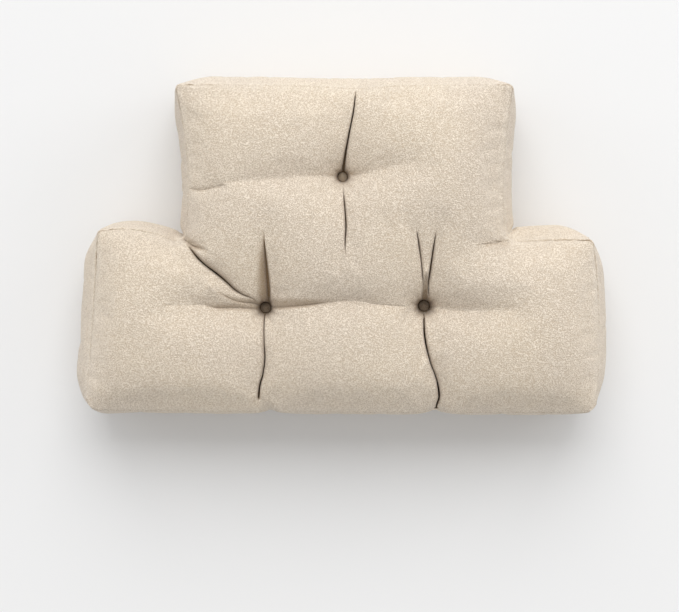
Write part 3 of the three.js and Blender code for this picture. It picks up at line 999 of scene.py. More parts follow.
@dataclass
class CushionCover:
    """The filled cover of the cushion: tufted face, boxing and back, in millimetres until it is built.

    back_inset is how far in from the back seam the part of the back that lies flat starts, and
    back_softening how much rounder its corners are. The cloth rolls down to a seat by funnel_depth. The
    face is filled less by the share head_slack at the head, from slack_start on over slack_rise.
    """

    thickness: float = 148.0
    face_seam: float = 106.0
    back_seam: float = 18.0
    back_inset: float = 26.0
    back_softening: float = 24.0
    swell_easing: int = 60
    seat_height: float = 92.0
    funnel_depth: float = 11.0
    datum_drop: float = 6.0
    least_swell: float = 1e-6
    head_slack: float = 0.3
    slack_start: float = 60.0
    slack_rise: float = 70.0
    far_from_seams: float = 1000.0
    name: str = "cushion_cover"
    node: str = "cushion"
    fill: float = 0.85
    fineness: Fineness = Fineness()
    relief: Relief = Relief()
    settling: Settling = Settling()
    lines: list[FoldLine] = field(init=False)
    counts: list[int] = field(init=False)
    smooth: np.ndarray = field(init=False)
    flat: np.ndarray = field(init=False)
    outward: np.ndarray = field(init=False)
    seam: np.ndarray = field(init=False)
    seam_height: np.ndarray = field(init=False)
    swell: np.ndarray = field(init=False)
    seats: list[int] = field(init=False)
    middles: list[tuple[int, FoldLine, float]] = field(init=False)
    plan: np.ndarray = field(init=False)
    triangles: np.ndarray = field(init=False)
    face_height: np.ndarray = field(init=False)
    shade: np.ndarray = field(init=False)
    grip: np.ndarray = field(init=False)
    row_depths: np.ndarray = field(init=False)
    seam_shade: np.ndarray = field(init=False)
    wear_and_highlight: np.ndarray = field(init=False)

    def build(self) -> bpy.types.Object:
        """Make the whole cover as one closed mesh.

        Returns:
            The cover's object.
        """
        self.lines = [FoldLine(fold, self.tuft(fold.start)) for fold in FOLDS]
        self.trace_seam()
        self.plan_face()
        self.fill_face()
        points, faces = self.sew()
        points = self.settle(points, faces)
        points = self.relieve(points, faces)
        return self.to_object(points, faces)

    @staticmethod
    def tuft(place: Place | None) -> Tuft | None:
        """The tuft at a place, or None for no place."""
        return next((tuft for tuft in TUFTS if tuft.place == place), None)

    def outline_runs(self, inset: float, softening: float) -> list[np.ndarray]:
        """The cushion's outline in plan as dense curves, edge and corner in turn.

        Args:
            inset: how far every edge is moved in from the seam.
            softening: how much rounder every corner is than the seam's.

        Returns:
            The curves, counterclockwise.
        """
        seam = np.array([(corner.x, corner.y) for corner in CORNERS], float)
        along = np.roll(seam, -1, axis=0) - seam
        inward = np.column_stack([-along[:, 1], along[:, 0]])
        inward /= np.linalg.norm(inward, axis=1)[:, None]
        before = np.roll(inward, 1, axis=0)
        corners = seam + inset * (inward + before) / (1 + (inward * before).sum(axis=1))[:, None]
        runs = []
        for i, corner in enumerate(CORNERS):
            j, k = (i + 1) % len(CORNERS), (i + 2) % len(CORNERS)
            cut = CORNERS[j].cut_back + softening
            leaving = towards(corners[i], corners[j], corner.cut_back + softening)
            arriving = towards(corners[j], corners[i], cut)
            swell = (leaving + arriving) / 2 - 2 * corner.bow * inward[i]
            turned = towards(corners[j], corners[k], cut)
            runs.append(quadratic(leaving, swell, arriving))
            runs.append(quadratic(arriving, corners[j], turned))
        return runs

    def outline(self, inset: float, softening: float) -> np.ndarray:
        """Points round the cushion in plan, as many on each edge and corner whatever the inset."""
        runs = self.outline_runs(inset, softening)
        return np.vstack([evenly(run, count)[:-1] for run, count in zip(runs, self.counts)])

    def trace_seam(self) -> None:
        """Work out the face seam in plan and height, and how far the boxing swells below it."""
        fine = self.fineness
        runs = self.outline_runs(0.0, 0.0)
        self.counts = [steps_along(run, fine.outline_step, fine.corner_steps) for run in runs]
        self.smooth = self.outline(0.0, 0.0)
        self.flat = self.outline(self.back_inset, self.back_softening)
        self.outward = outward_directions(self.smooth)
        inward = np.zeros(len(self.smooth))
        self.seam_height = np.full(len(self.smooth), self.face_seam)
        for draw in EDGE_DRAWS:
            distance = np.linalg.norm(self.smooth - (draw.x, draw.y), axis=1)
            share = np.exp(-((distance / draw.reach) ** 2))
            inward += draw.inward * share
            self.seam_height -= draw.down * share
        self.seam = self.smooth - self.outward * inward[:, None]
        full = np.repeat([corner.full for corner in CORNERS for _ in range(2)], self.counts).astype(float)
        for _ in range(self.swell_easing):
            full = (np.roll(full, 1) + 2 * full + np.roll(full, -1)) / 4
        corners = np.array([(corner.x, corner.y) for corner in CORNERS], float)
        reach = np.array([corner.reach for corner in CORNERS])
        shares = np.linalg.norm(self.smooth[:, None] - corners[None], axis=2) / reach
        away = shares.min(axis=1).clip(0.0, 1.0)
        self.swell = full * (1 - (1 - away) ** 2)

    def plan_face(self) -> None:
        """Gather the face's points in plan, fine at seams, seats and folds, and triangulate them."""
        plan = PlanField(self.fineness.largest_clear)
        self.plan_seam(plan)
        self.seats = [number for tuft in TUFTS for number in self.plan_seat(plan, tuft)]
        self.middles = [middle for line in self.lines for middle in self.plan_middle(plan, line)]
        for line in self.lines:
            self.plan_lips(plan, line)
        self.plan_filling(plan)
        self.plan = np.array(plan.points)
        self.triangles = triangulated(self.plan, self.seam)

    def plan_seam(self, plan: PlanField) -> None:
        """Add the seam's points, and rows of points beside it.

        Args:
            plan: the field of points.
        """
        fine = self.fineness
        for point in self.seam:
            plan.add(point, 0.0)
        outward = outward_directions(self.seam)
        for inset in fine.seam_rows:
            row = self.seam - outward * inset
            for point, distance in zip(row, distances_to(row, self.seam)):
                if distance > fine.row_kept_share * inset:
                    plan.add(point, max(fine.row_clear, fine.row_clear_share * inset))

    def plan_seat(self, plan: PlanField, tuft: Tuft) -> list[int]:
        """Add rings of points round a tuft.

        Args:
            plan: the field of points.
            tuft: the tuft.

        Returns:
            The numbers of the points on its seat.
        """
        fine = self.fineness
        seat = []
        for ring, share in enumerate(fine.seat_rings):
            radius = tuft.seat * share
            sides = max(1, round(2 * math.pi * radius / fine.ring_step))
            for k in range(sides):
                turn = 2 * math.pi * (k + ring / 2) / sides
                place = (tuft.x + radius * math.cos(turn), tuft.y + radius * math.sin(turn))
                number = plan.add(place, fine.ring_clear)
                if number is not None and share <= 1.0:
                    seat.append(number)
        return seat

    def clear_of_seats(self, spots: np.ndarray) -> np.ndarray:
        """Whether spots in plan stay clear of every tuft's seat and of the seam.

        Args:
            spots: the spots to test.

        Returns:
            One truth value a spot.
        """
        fine = self.fineness
        clear = inside(spots, self.seam) & (distances_to(spots, self.seam) > fine.seam_margin)
        for tuft in TUFTS:
            clear &= tuft.away(spots) > fine.seat_margin
        return clear

    def plan_middle(self, plan: PlanField, line: FoldLine) -> list[tuple[int, FoldLine, float]]:
        """Add the points along the middle of a fold, which hold it down.

        Args:
            plan: the field of points.
            line: the fold's line.

        Returns:
            Each point's number, with the line and the share of its run.
        """
        stride = 1 if line.fold.gap else 2
        middles = []
        for place, share, fits in list(zip(line.line, line.share, self.clear_of_seats(line.line)))[::stride]:
            number = plan.add(place, self.fineness.middle_clear) if fits else None
            if number is not None:
                middles.append((number, line, share))
        return middles

    def plan_lips(self, plan: PlanField, line: FoldLine) -> None:
        """Add the rows of points on both sides of a fold's gap, over its rolled lips.

        Args:
            plan: the field of points.
            line: the fold's line.
        """
        if line.fold.gap is None:
            return
        fine = self.fineness
        asides, halves = line.asides(), np.maximum(line.half(line.share), fine.narrowest_half)
        for row in fine.lip_rows:
            clear = fine.lip_clear if row < fine.outer_lip else fine.outer_lip_clear
            for side, lip in zip((1, -1), line.fold.gap.lips):
                offsets = halves * (1 + row) if row < 0 else halves + row * lip
                spots = line.line + side * offsets[:, None] * asides
                for spot, offset, fits in zip(spots, offsets, self.clear_of_seats(spots)):
                    if fits and offset > fine.least_offset:
                        plan.add(spot, clear)

    def plan_filling(self, plan: PlanField) -> None:
        """Fill the rest of the face with a grid of points, finer round the tufts.

        Args:
            plan: the field of points.
        """
        fine = self.fineness
        close = self.grid(fine.tuft_step)
        tufts = np.array([(tuft.x, tuft.y) for tuft in TUFTS], float)
        nearest = np.linalg.norm(close[:, None] - tufts[None], axis=2).min(axis=1)
        for point in close[nearest < fine.tuft_reach]:
            plan.add(point, fine.grid_clear_share * fine.tuft_step)
        for point in self.grid(fine.face_step):
            plan.add(point, fine.grid_clear_share * fine.face_step)

    def grid(self, step: float) -> np.ndarray:
        """Points in rows of equal triangles.

        Args:
            step: the distance between neighbours.

        Returns:
            The points in plan that lie inside the seam.
        """
        low, high = self.seam.min(axis=0), self.seam.max(axis=0)
        rise = step * math.sqrt(3) / 2
        across, up = np.meshgrid(np.arange(low[0], high[0], step), np.arange(low[1], high[1], rise))
        across[1::2] += step / 2
        points = np.column_stack([across.ravel(), up.ravel()])
        return points[inside(points, self.seam)]

    def fill_face(self) -> None:
        """Fill the face: smooth first, then with its folds held down, then cut by their gaps."""
        skin = StretchedSkin(self.plan, self.triangles)
        held = np.zeros(len(self.plan), bool)
        height = np.zeros(len(self.plan))
        held[: len(self.seam)] = True
        height[: len(self.seam)] = self.seam_height
        lowest = self.seat_height + self.funnel_depth
        held[self.seats] = True
        height[self.seats] = lowest
        smooth = self.filled(skin, held, height)
        for number, line, share in self.middles:
            held[number] = True
            height[number] = max(lowest, smooth[number] - float(line.sunk(share)))
        face = self.filled(skin, held, height)
        drop, shade = np.zeros(len(self.plan)), np.zeros(len(self.plan))
        for line in self.lines:
            line_drop, line_shade = line.parting(self.plan)
            drop, shade = np.maximum(drop, line_drop), np.maximum(shade, line_shade)
        for tuft in TUFTS:
            roll, tuft_shade = tuft.draw(self.plan)
            drop, shade = np.maximum(drop, self.funnel_depth * roll), np.maximum(shade, tuft_shade)
        self.face_height = np.maximum(face - drop, np.minimum(face, self.seat_height))
        self.shade = np.minimum(shade, 1.0)
        self.grip = ease(drop)
        for number, line, share in self.middles:
            self.grip[number] = line.grip(share)

    def filled(self, skin: StretchedSkin, held: np.ndarray, height: np.ndarray) -> np.ndarray:
        """Heights of a face filled to the cushion's thickness.

        The skin is worked out on squared heights over a level under the seats, which rounds it as a
        filled cover is rounded.

        Args:
            skin: the face's skin.
            held: whether each point is held.
            height: the height of each held point.

        Returns:
            The height of every point.
        """
        datum = self.seat_height - self.datum_drop
        slack = skin.rest(held, np.where(held, height - datum, 0.0) ** 2, 0.0)
        push = 1.0 - self.head_slack * ease((self.plan[:, 1] - self.slack_start) / self.slack_rise)
        swell = skin.rest(held, np.zeros(len(height)), push)
        swells = swell > self.least_swell
        room = ((self.thickness - datum) ** 2 - slack[swells]) / swell[swells]
        return datum + np.sqrt(np.maximum(slack + room.min() * swell, 0.0))

    def sew(self) -> tuple[np.ndarray, list[Face]]:
        """Join face, boxing, rounded back edge and flat back into one closed surface.

        Returns:
            The points in space and the faces.
        """
        points = [np.column_stack([self.plan, self.face_height])]
        faces: list[Face] = [tuple(triangle) for triangle in self.triangles.tolist()]
        around = len(self.seam)
        above, count = 0, len(self.plan)
        for ring in self.side_rings():
            points.append(ring)
            for i in range(around):
                j = (i + 1) % around
                faces.append((above + i, count + i, count + j, above + j))
            above, count = count, count + around
        plan, triangles = self.back_panel()
        inner = plan[around:]
        points.append(np.column_stack([inner, np.zeros(len(inner))]))
        number = np.concatenate([np.arange(above, above + around), np.arange(count, count + len(inner))])
        faces += [(a, c, b) for a, b, c in number[triangles].tolist()]
        return np.vstack(points), faces

    def side_rings(self) -> list[np.ndarray]:
        """Closed rings from below the face seam down the swelling boxing and round under the back's edge.

        Returns:
            The rings' points in space, the last ring at the floor.
        """
        fine = self.fineness
        tall = self.face_seam - self.back_seam
        depths = np.array([*fine.seam_rows, *fine.boxing_rows])
        middle = np.linspace(fine.boxing_margin, tall - fine.boxing_margin, fine.boxing_even_rows)
        self.row_depths = np.concatenate([depths, middle, tall - depths[::-1], [tall]])
        rings = []
        for down in self.row_depths / tall:
            outset = self.swell * math.sin(math.pi * down)
            plan = self.seam + (self.smooth - self.seam) * down + self.outward * outset[:, None]
            height = self.seam_height + (self.back_seam - self.seam_height) * down
            rings.append(np.column_stack([plan, height]))
        for turn in np.linspace(0.0, math.pi / 2, fine.back_edge_rows + 1)[1:]:
            plan = self.smooth + (self.flat - self.smooth) * (1 - math.cos(turn))
            height = np.full(len(plan), self.back_seam * (1 - math.sin(turn)))
            rings.append(np.column_stack([plan, height]))
        rings[-1][:, 2] = 0.0
        return rings

    def back_panel(self) -> tuple[np.ndarray, np.ndarray]:
        """The flat part of the back.

        Returns:
            Its points in plan, those of its outline first, and its triangles, counterclockwise.
        """
        step = self.fineness.back_step
        back = PlanField(step)
        for point in self.flat:
            back.add(point, 0.0)
        low, high = self.flat.min(axis=0), self.flat.max(axis=0)
        across, up = np.meshgrid(np.arange(low[0], high[0], step), np.arange(low[1], high[1], step))
        grid = np.column_stack([across.ravel(), up.ravel()])
        for point in grid[inside(grid, self.flat)]:
            back.add(point, self.fineness.back_clear_share * step)
        plan = np.array(back.points)
        return plan, triangulated(plan, self.flat)

    def settle(self, points: np.ndarray, faces: list[Face]) -> np.ndarray:
        """Let the face and the boxing settle over the filling, held at seams, seats and folds.

        Args:
            points: the cover's points in space.
            faces: its faces.

        Returns:
            The settled points.
        """
        around = len(self.seam)
        count = len(self.plan) + around * len(self.row_depths)
        held = np.zeros(count)
        held[: len(self.plan)] = self.grip
        held[:around] = 1.0
        held[-around:] = 1.0
        loose = [face for face in faces if max(face) < count]
        return np.vstack([self.settling.settle(points[:count], loose, held), points[count:]])

    def seam_distances(self, count: int) -> np.ndarray:
        """How far each of the cover's points lies from the nearer seam, over the cloth.

        Args:
            count: how many points the cover has.

        Returns:
            One distance a point, large where no seam is near.
        """
        around = len(self.seam)
        distance = np.full(count, self.far_from_seams)
        closed = np.vstack([self.seam, self.seam[:1]])
        fine_seam = evenly(closed, steps_along(closed, self.fineness.seam_line_step))
        distance[: len(self.plan)] = distances_to(self.plan, fine_seam)
        distance[:around] = 0.0
        for row, depth in enumerate(self.row_depths):
            first = len(self.plan) + row * around
            distance[first : first + around] = min(depth, self.row_depths[-1] - depth)
        return distance

    def relieve(self, points: np.ndarray, faces: list[Face]) -> np.ndarray:
        """Give the cover its low relief, and work out where painted shade darkens its seams and where the
        cloth beside them is paler, partly from wear and partly as a painted highlight.

        Args:
            points: the cover's points in space.
            faces: its faces.

        Returns:
            The moved points.
        """
        relief = self.relief
        distance = self.seam_distances(len(points))
        tight, shown = relief.tightness(points), relief.shown(points)
        self.seam_shade = relief.groove_shade(distance, tight, shown)
        self.wear_and_highlight = relief.worn_and_highlit(distance)
        raised = relief.rolls(distance, tight, shown)
        raised += relief.lumps(points, distance)
        raised += relief.gathers(points)
        raised *= ease(points[:, 2] / relief.floor_fade)
        return points + self.normals(points, faces) * raised[:, None]

    @staticmethod
    def normals(points: np.ndarray, faces: list[Face]) -> np.ndarray:
        """Outward normals of a closed surface of triangles and quads.

        Args:
            points: the surface's points in space.
            faces: its faces, counterclockwise seen from outside.

        Returns:
            One direction a point.
        """
        total = np.zeros_like(points)
        triangles = np.array([face for face in faces if len(face) == 3])
        quads = np.array([face for face in faces if len(face) == 4])
        a, b, c = (points[triangles[:, k]] for k in range(3))
        p, q, r, s = (points[quads[:, k]] for k in range(4))
        for group, facing in ((triangles, np.cross(b - a, c - a)), (quads, np.cross(r - p, s - q))):
            for column in group.T:
                np.add.at(total, column, facing)
        return total / np.maximum(np.linalg.norm(total, axis=1), TINY)[:, None]

    def to_object(self, points: np.ndarray, faces: list[Face]) -> bpy.types.Object:
        """Make the object, set on the CAD solid's place.

        Args:
            points: the cover's points in space.
            faces: its faces.

        Returns:
            The cover's object.
        """
        low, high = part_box(Place.HEAD.node)
        head = self.tuft(Place.HEAD)
        shift = np.array([(low.x + high.x) / 2 - head.x * MM, (low.y + high.y) / 2 - head.y * MM, 0.0])
        mesh = bpy.data.meshes.new(self.name)
        mesh.from_pydata((points * MM + shift).tolist(), [], faces)
        shade = self.seam_shade.copy()
        shade[: len(self.plan)] = np.maximum(shade[: len(self.plan)], self.shade)
        for name, values in (("shade", shade), ("wear_and_highlight", self.wear_and_highlight)):
            layer = mesh.attributes.new(name, "FLOAT", "POINT")
            layer.data.foreach_set("value", values.astype(np.float32))
        mesh.validate()
        mesh.shade_smooth()
        cover = bpy.data.objects.new(self.name, mesh)
        bpy.context.scene.collection.objects.link(cover)
        return cover

    def dress(self, cover: bpy.types.Object, material: bpy.types.Material) -> None:
        """Give the cover its cloth, hang it under the body's empty and hide the CAD solid that it replaces.

        Args:
            cover: the cover's object.
            material: its cloth.
        """
        cover.data.materials.append(material)
        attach(cover, BODY)
        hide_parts(self.node)


@dataclass(frozen=True)
class TuftButtons:
    """The three cloth-covered buttons, in metres.

    steps are the insets from the rim of a button to the middle of its dome: how far in each goes, and
    how far up. The third goes down, into the groove where the cloth is drawn round the button's edge.
    """

    radius: float = 0.006
    skirt: float = 0.0013
    sides: int = 32
    tip: float = 0.0001
    smoothing: int = 2
    steps: tuple[tuple[float, float], ...] = (
        (0.0005, 0.0005),
        (0.0006, 0.0004),
        (0.0005, -0.0003),
        (0.0004, 0.0001),
        (0.0008, 0.0007),
        (0.0012, 0.0005),
        (0.0012, 0.0002),
    )

    def model(self) -> bpy.types.Object:
        """Model one button, standing on the origin.

        Returns:
            The button's object.
        """
        bpy.ops.object.select_all(action="DESELECT")
        bpy.ops.mesh.primitive_circle_add(vertices=self.sides, radius=self.radius, fill_type="NGON")
        button = bpy.context.object
        bpy.ops.object.mode_set(mode="EDIT")
        bpy.ops.mesh.select_all(action="SELECT")
        bpy.ops.mesh.extrude_region_move(TRANSFORM_OT_translate={"value": (0.0, 0.0, self.skirt)})
        for thickness, rise in self.steps:
            bpy.ops.mesh.inset(thickness=thickness, depth=rise)
        bpy.ops.mesh.poke(offset=self.tip)
        bpy.ops.mesh.select_all(action="SELECT")
        bpy.ops.mesh.normals_make_consistent(inside=False)
        bpy.ops.object.mode_set(mode="OBJECT")
        rounded = button.modifiers.new("rounded", "SUBSURF")
        rounded.levels = rounded.render_levels = self.smoothing
        bpy.ops.object.modifier_apply(modifier=rounded.name)
        bpy.ops.object.shade_smooth()
        return button

    def build(self) -> list[tuple[bpy.types.Object, str]]:
        """Model one button and set a copy on every seat.

        Returns:
            Each button with the CAD node that it stands for.
        """
        pattern = self.model()
        made = []
        for tuft in TUFTS:
            node = tuft.place.node
            low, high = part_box(node)
            place = Matrix.Translation(((low.x + high.x) / 2, (low.y + high.y) / 2, low.z))
            mesh = pattern.data.copy()
            mesh.transform(place @ Matrix.Scale(tuft.button * MM / self.radius, 4))
            mesh.name = f"covered_{node}"
            button = bpy.data.objects.new(mesh.name, mesh)
            bpy.context.scene.collection.objects.link(button)
            made.append((button, node))
        # the pattern's object goes with its mesh
        bpy.data.meshes.remove(pattern.data)
        return made

    @staticmethod
    def dress(button: bpy.types.Object, node: str, material: bpy.types.Material) -> None:
        """Give a button its cloth, hang it under the body's empty and hide the CAD node that it replaces.

        Args:
            button: the button's object.
            node: the CAD node that it stands for.
            material: its cloth.
        """
        button.data.materials.append(material)
        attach(button, BODY)
        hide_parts(node)


class NodeBench:
    """A material's nodes, added and joined one at a time."""

    def __init__(self, name: str) -> None:
        """Start a material with its main shader.

        Args:
            name: the material's name.
        """
        self.material = bpy.data.materials.new(name)
        self.material.use_nodes = True
        self.tree = self.material.node_tree
        self.shader = self.tree.nodes["Principled BSDF"]
        self.place = self.tree.nodes.new("ShaderNodeTexCoord").outputs["Object"]

    def join(self, source: Socket, target: Socket) -> None:
        """Link one socket to another."""
        self.tree.links.new(source, target)

    def feed(self, target: Socket, value: Socket | float | tuple[float, ...]) -> None:
        """Give a socket a constant, or the link that makes its value.

        Args:
            target: the socket.
            value: the constant, or the socket to link to it.
        """
        if isinstance(value, Socket):
            self.join(value, target)
        else:
            target.default_value = value

    def fix(self, **values: float | tuple[float, ...]) -> None:
        """Set constants on the shader's own sockets; underscores in names stand for spaces."""
        for name, value in values.items():
            self.shader.inputs[name.replace("_", " ")].default_value = value

    def noise(self, scale: float, detail: float, distortion: float = 0.0, across: float = 1.0) -> Socket:
        """Noise on the piece's own coordinates.

        Args:
            scale: how many features there are to a metre.
            detail: how much finer noise is added.
            distortion: how much the features are bent.
            across: how many times as many features there are along X as along the other axes.

        Returns:
            The noise's socket.
        """
        spread = self.tree.nodes.new("ShaderNodeMapping")
        spread.inputs["Scale"].default_value = (across, 1.0, 1.0)
        self.join(self.place, spread.inputs["Vector"])
        node = self.tree.nodes.new("ShaderNodeTexNoise")
        for name, value in (("Scale", scale), ("Detail", detail), ("Distortion", distortion)):
            node.inputs[name].default_value = value
        self.join(spread.outputs["Vector"], node.inputs["Vector"])
        return node.outputs["Fac"]

    def attribute(self, name: str) -> Socket:
        """A number that the piece's mesh carries at each point.

        Args:
            name: the attribute's name.

        Returns:
            The number's socket.
        """
        node = self.tree.nodes.new("ShaderNodeAttribute")
        node.attribute_name = name
        return node.outputs["Fac"]

    def along_y(self) -> Socket:
        """How far along the piece's own Y axis a point lies.

        Returns:
            The socket of that distance, in metres.
        """
        node = self.tree.nodes.new("ShaderNodeSeparateXYZ")
        self.join(self.place, node.inputs["Vector"])
        return node.outputs["Y"]

    def math(self, work: str, *values: Socket | float) -> Socket:
        """One sum on numbers.

        Args:
            work: which sum.
            values: its numbers, or sockets that give them.

        Returns:
            The result's socket.
        """
        node = self.tree.nodes.new("ShaderNodeMath")
        node.operation = work
        for socket, value in zip(node.inputs, values):
            self.feed(socket, value)
        return node.outputs["Value"]

    def ramp(self, source: Socket, low: float, high: float, start: float = 0.0, end: float = 1.0) -> Socket:
        """Map a range of numbers to another, held at both ends.

        Args:
            source: the socket that gives the numbers.
            low: the lowest number.
            high: the highest number.
            start: what the lowest becomes.
            end: what the highest becomes.

        Returns:
            The result's socket.
        """
        node = self.tree.nodes.new("ShaderNodeMapRange")
        for name, value in (("From Min", low), ("From Max", high), ("To Min", start), ("To Max", end)):
            node.inputs[name].default_value = value
        self.join(source, node.inputs["Value"])
        return node.outputs["Result"]

    def mix(
        self, share: Socket, first: Socket | Colour, second: Socket | Colour, blend: str = "MIX"
    ) -> Socket:
        """Mix two colours by a share.

        Args:
            share: how much of the second colour there is.
            first: the first colour, or a socket that gives it.
            second: the second colour, or a socket that gives it.
            blend: how they mix.

        Returns:
            The mixed colour's socket.
        """
        node = self.tree.nodes.new("ShaderNodeMix")
        node.data_type, node.blend_type = "RGBA", blend
        self.join(share, node.inputs["Factor"])
        for socket, value in ((node.inputs["A"], first), (node.inputs["B"], second)):
            self.feed(socket, value if isinstance(value, Socket) else (*value, 1.0))
        return node.outputs["Result"]

    def bump(self, height: Socket, strength: float, distance: float) -> None:
        """Roughen the shader's surface.

        Args:
            height: the socket that gives the height.
            strength: how strongly it shows.
            distance: how high the highest is, in metres.
        """
        node = self.tree.nodes.new("ShaderNodeBump")
        node.inputs["Strength"].default_value = strength
        node.inputs["Distance"].default_value = distance
        self.join(height, node.inputs["Height"])
        self.join(node.outputs["Normal"], self.shader.inputs["Normal"])


@dataclass(frozen=True)
class NubbyCloth:
    """A matte beige cloth with a short crinkled nap.

    Nubs, fibres and drifts of colour are counted to a metre. The shade of gaps and seams goes through
    dusk, up to the share dusk_until, and on to full shade.
    """

    nap: Colour = (0.885, 0.782, 0.659)
    pit: Colour = (0.564, 0.465, 0.358)
    warm: Colour = (0.80, 0.69, 0.55)
    # paler colour of the cloth beside the seams: partly wear, partly a painted highlight
    worn_and_highlit: Colour = (0.88, 0.80, 0.69)
    dusk: Colour = (0.36, 0.25, 0.145)
    shade: Colour = (0.05, 0.03, 0.015)
    nubs: float = 1200.0
    nub_bend: float = 0.6
    nub_across: float = 0.65
    fibres: float = 1100.0
    fibre_share: float = 0.5
    drifts: float = 9.0
    most_drift: float = 0.35
    most_wear_and_highlight: float = 0.18
    dusk_until: float = 0.6
    shade_full: float = 0.95
    nap_height: float = 0.0009

    def material(self) -> bpy.types.Material:
        """Make the cloth's material.

        Returns:
            The material.
        """
        bench = NodeBench(Slot.COVER.value)
        bench.fix(Specular_IOR_Level=0.12, Sheen_Weight=0.4, Sheen_Roughness=0.35)
        crinkle = bench.noise(self.nubs, detail=0.0, distortion=self.nub_bend, across=self.nub_across)
        nub = bench.ramp(crinkle, low=0.38, high=0.62)
        fibre = bench.noise(self.fibres, detail=2.0)
        height = bench.math("ADD", nub, bench.math("MULTIPLY", fibre, self.fibre_share))
        colour = bench.mix(bench.ramp(height, low=0.2, high=1.25), self.pit, self.nap)
        drift = bench.ramp(bench.noise(self.drifts, detail=3.0), low=0.35, high=0.7, end=self.most_drift)
        colour = bench.mix(drift, colour, self.warm, "SOFT_LIGHT")
        # painted highlight, partly wear: the cloth beside the seams is made paler
        wear_and_highlight = bench.math("MULTIPLY", bench.attribute("wear_and_highlight"), self.most_wear_and_highlight)
        colour = bench.mix(wear_and_highlight, colour, self.worn_and_highlit)
        # painted shade of the gaps, the tufts and the seams' grooves darkens the colour, through dusk to
        # full shade
        depth = bench.attribute("shade")
        colour = bench.mix(bench.ramp(depth, low=0.0, high=self.dusk_until), colour, self.dusk)
        colour = bench.mix(bench.ramp(depth, low=self.dusk_until, high=self.shade_full), colour, self.shade)
        bench.join(colour, bench.shader.inputs["Base Color"])
        rough = bench.ramp(height, low=0.0, high=1.4, start=0.98, end=0.86)
        bench.join(rough, bench.shader.inputs["Roughness"])
        bench.bump(height, strength=0.7, distance=self.nap_height)
        return bench.material


@dataclass(frozen=True)
class ButtonCloth:
    """The same cloth on the buttons, darker and worn flat, and paler towards the head as painted light,
    since the head's button lies less deep and more in the light.

    The painted light grows along Y over a range given in metres, up to its largest share.
    """

    thread: Colour = (0.46, 0.37, 0.275)
    gap: Colour = (0.22, 0.165, 0.115)
    worn_and_highlit: Colour = (0.74, 0.63, 0.48)
    threads: float = 1300.0
    thread_bend: float = 0.6
    highlight_start: float = -0.05
    highlight_end: float = 0.07
    most_wear_and_highlight: float = 0.6
    thread_height: float = 0.0003

    def material(self) -> bpy.types.Material:
        """Make the cloth's material.

        Returns:
            The material.
        """
        bench = NodeBench(Slot.BUTTON.value)
        bench.fix(Specular_IOR_Level=0.2, Sheen_Weight=0.1, Sheen_Roughness=0.5)
        weave = bench.noise(self.threads, detail=2.0, distortion=self.thread_bend)
        height = bench.ramp(weave, low=0.3, high=0.7)
        colour = bench.mix(height, self.gap, self.thread)
        # painted light: the button at the head end is made paler than the two lower ones
        wear_and_highlight = bench.ramp(bench.along_y(), low=self.highlight_start, high=self.highlight_end, end=self.most_wear_and_highlight)
        colour = bench.mix(wear_and_highlight, colour, self.worn_and_highlit)
        bench.join(colour, bench.shader.inputs["Base Color"])
        rough = bench.ramp(height, low=0.0, high=1.0, start=0.95, end=0.8)
        bench.join(rough, bench.shader.inputs["Roughness"])
        bench.bump(height, strength=0.5, distance=self.thread_height)
        return bench.material


@dataclass(frozen=True)
class PhotoCamera:
    """A camera over the face, at the photograph's angle to it, in metres.

    lean is how far towards the head it stands from the cushion's middle. across_offset, down_offset and
    level are the point that it looks at, and distance how high over that point it stands.
    """

    frame_width: int = 679
    metres_per_pixel: float = 0.0011385
    sensor_mm: float = 36.0
    distance: float = 2.3
    lean: float = 0.080
    across_offset: float = -0.004
    down_offset: float = -0.0683
    level: float = 0.055

    def build(self) -> None:
        """Place the camera and make it the scene's."""
        data = bpy.data.cameras.new("photo_camera")
        camera = bpy.data.objects.new("photo_camera", data)
        bpy.context.scene.collection.objects.link(camera)
        camera.location = (self.across_offset, self.lean, self.level + self.distance)
        aim = Vector((self.across_offset, self.down_offset, self.level))
        away = camera.location - aim
        data.sensor_width = self.sensor_mm
        data.lens = data.sensor_width * away.length / (self.metres_per_pixel * self.frame_width)
        camera.rotation_euler = (-math.atan2(away.y, away.z), 0.0, 0.0)
        bpy.context.scene.camera = camera


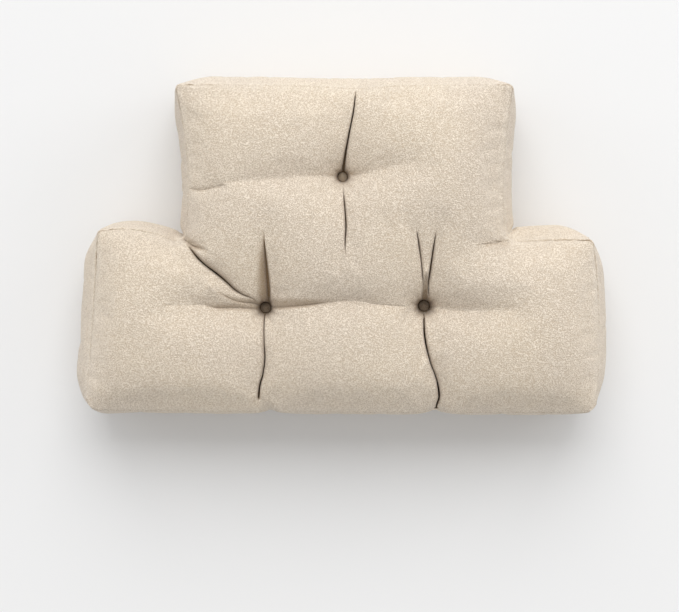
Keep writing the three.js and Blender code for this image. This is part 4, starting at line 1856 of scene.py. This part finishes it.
@dataclass(frozen=True)
class Softbox:
    """A rectangular soft light, in metres and watts."""

    name: str
    place: tuple[float, float, float]
    size: tuple[float, float]
    power: float

    def build(self, aim: tuple[float, float, float]) -> None:
        """Add the light to the scene.

        Args:
            aim: the point that it shines at.
        """
        data = bpy.data.lights.new(self.name, "AREA")
        data.shape = "RECTANGLE"
        data.size, data.size_y = self.size
        data.energy = self.power
        lamp = bpy.data.objects.new(self.name, data)
        bpy.context.scene.collection.objects.link(lamp)
        lamp.location = self.place
        lamp.rotation_euler = (Vector(aim) - Vector(self.place)).to_track_quat("-Z", "Y").to_euler()


@dataclass(frozen=True)
class Studio:
    """A pale floor and soft light, most of it from the head end."""

    floor_half: float = 12.0
    floor_tone: float = 0.82
    sky: float = 0.57
    aim: tuple[float, float, float] = (0.0, 0.0, 0.08)
    softboxes: tuple[Softbox, ...] = (
        Softbox("head_softbox", (0.0, 8.0, 8.0), (10.0, 10.0), 960.0),
        Softbox("left_softbox", (-2.4, 1.2, 0.9), (1.6, 1.6), 9.0),
        Softbox("right_softbox", (2.4, 1.2, 0.9), (1.6, 1.6), 17.0),
        Softbox("foot_strip", (0.0, -2.2, 0.32), (2.4, 0.4), 4.0),
    )

    def build(self) -> None:
        """Make the floor, the lights and the surrounding light."""
        bpy.ops.object.select_all(action="DESELECT")
        bpy.ops.mesh.primitive_plane_add(size=2 * self.floor_half, location=(0.0, 0.0, 0.0))
        floor = bpy.context.object
        floor.name = "floor"
        bench = NodeBench("pale_floor")
        bench.fix(Base_Color=(self.floor_tone, self.floor_tone, self.floor_tone, 1.0), Roughness=0.9)
        floor.data.materials.append(bench.material)
        world = bpy.data.worlds.new("studio")
        world.use_nodes = True
        background = world.node_tree.nodes["Background"]
        background.inputs["Color"].default_value = (1.0, 1.0, 1.0, 1.0)
        background.inputs["Strength"].default_value = self.sky
        bpy.context.scene.world = world
        for softbox in self.softboxes:
            softbox.build(self.aim)


def main() -> None:
    """Build every piece of the scene in order."""
    logging.basicConfig(level=logging.INFO, format="%(message)s")
    bpy.context.scene.view_settings.view_transform = "Standard"
    PhotoCamera().build()
    Studio().build()
    cover = CushionCover()
    piece = cover.build()
    cover.dress(piece, NubbyCloth().material())
    LOG.info("%s: %d faces", piece.name, len(piece.data.polygons))
    buttons = TuftButtons()
    cloth = ButtonCloth().material()
    for button, node in buttons.build():
        buttons.dress(button, node, cloth)
        LOG.info("%s: %d faces", button.name, len(button.data.polygons))


if __name__ == "__main__":
    main()
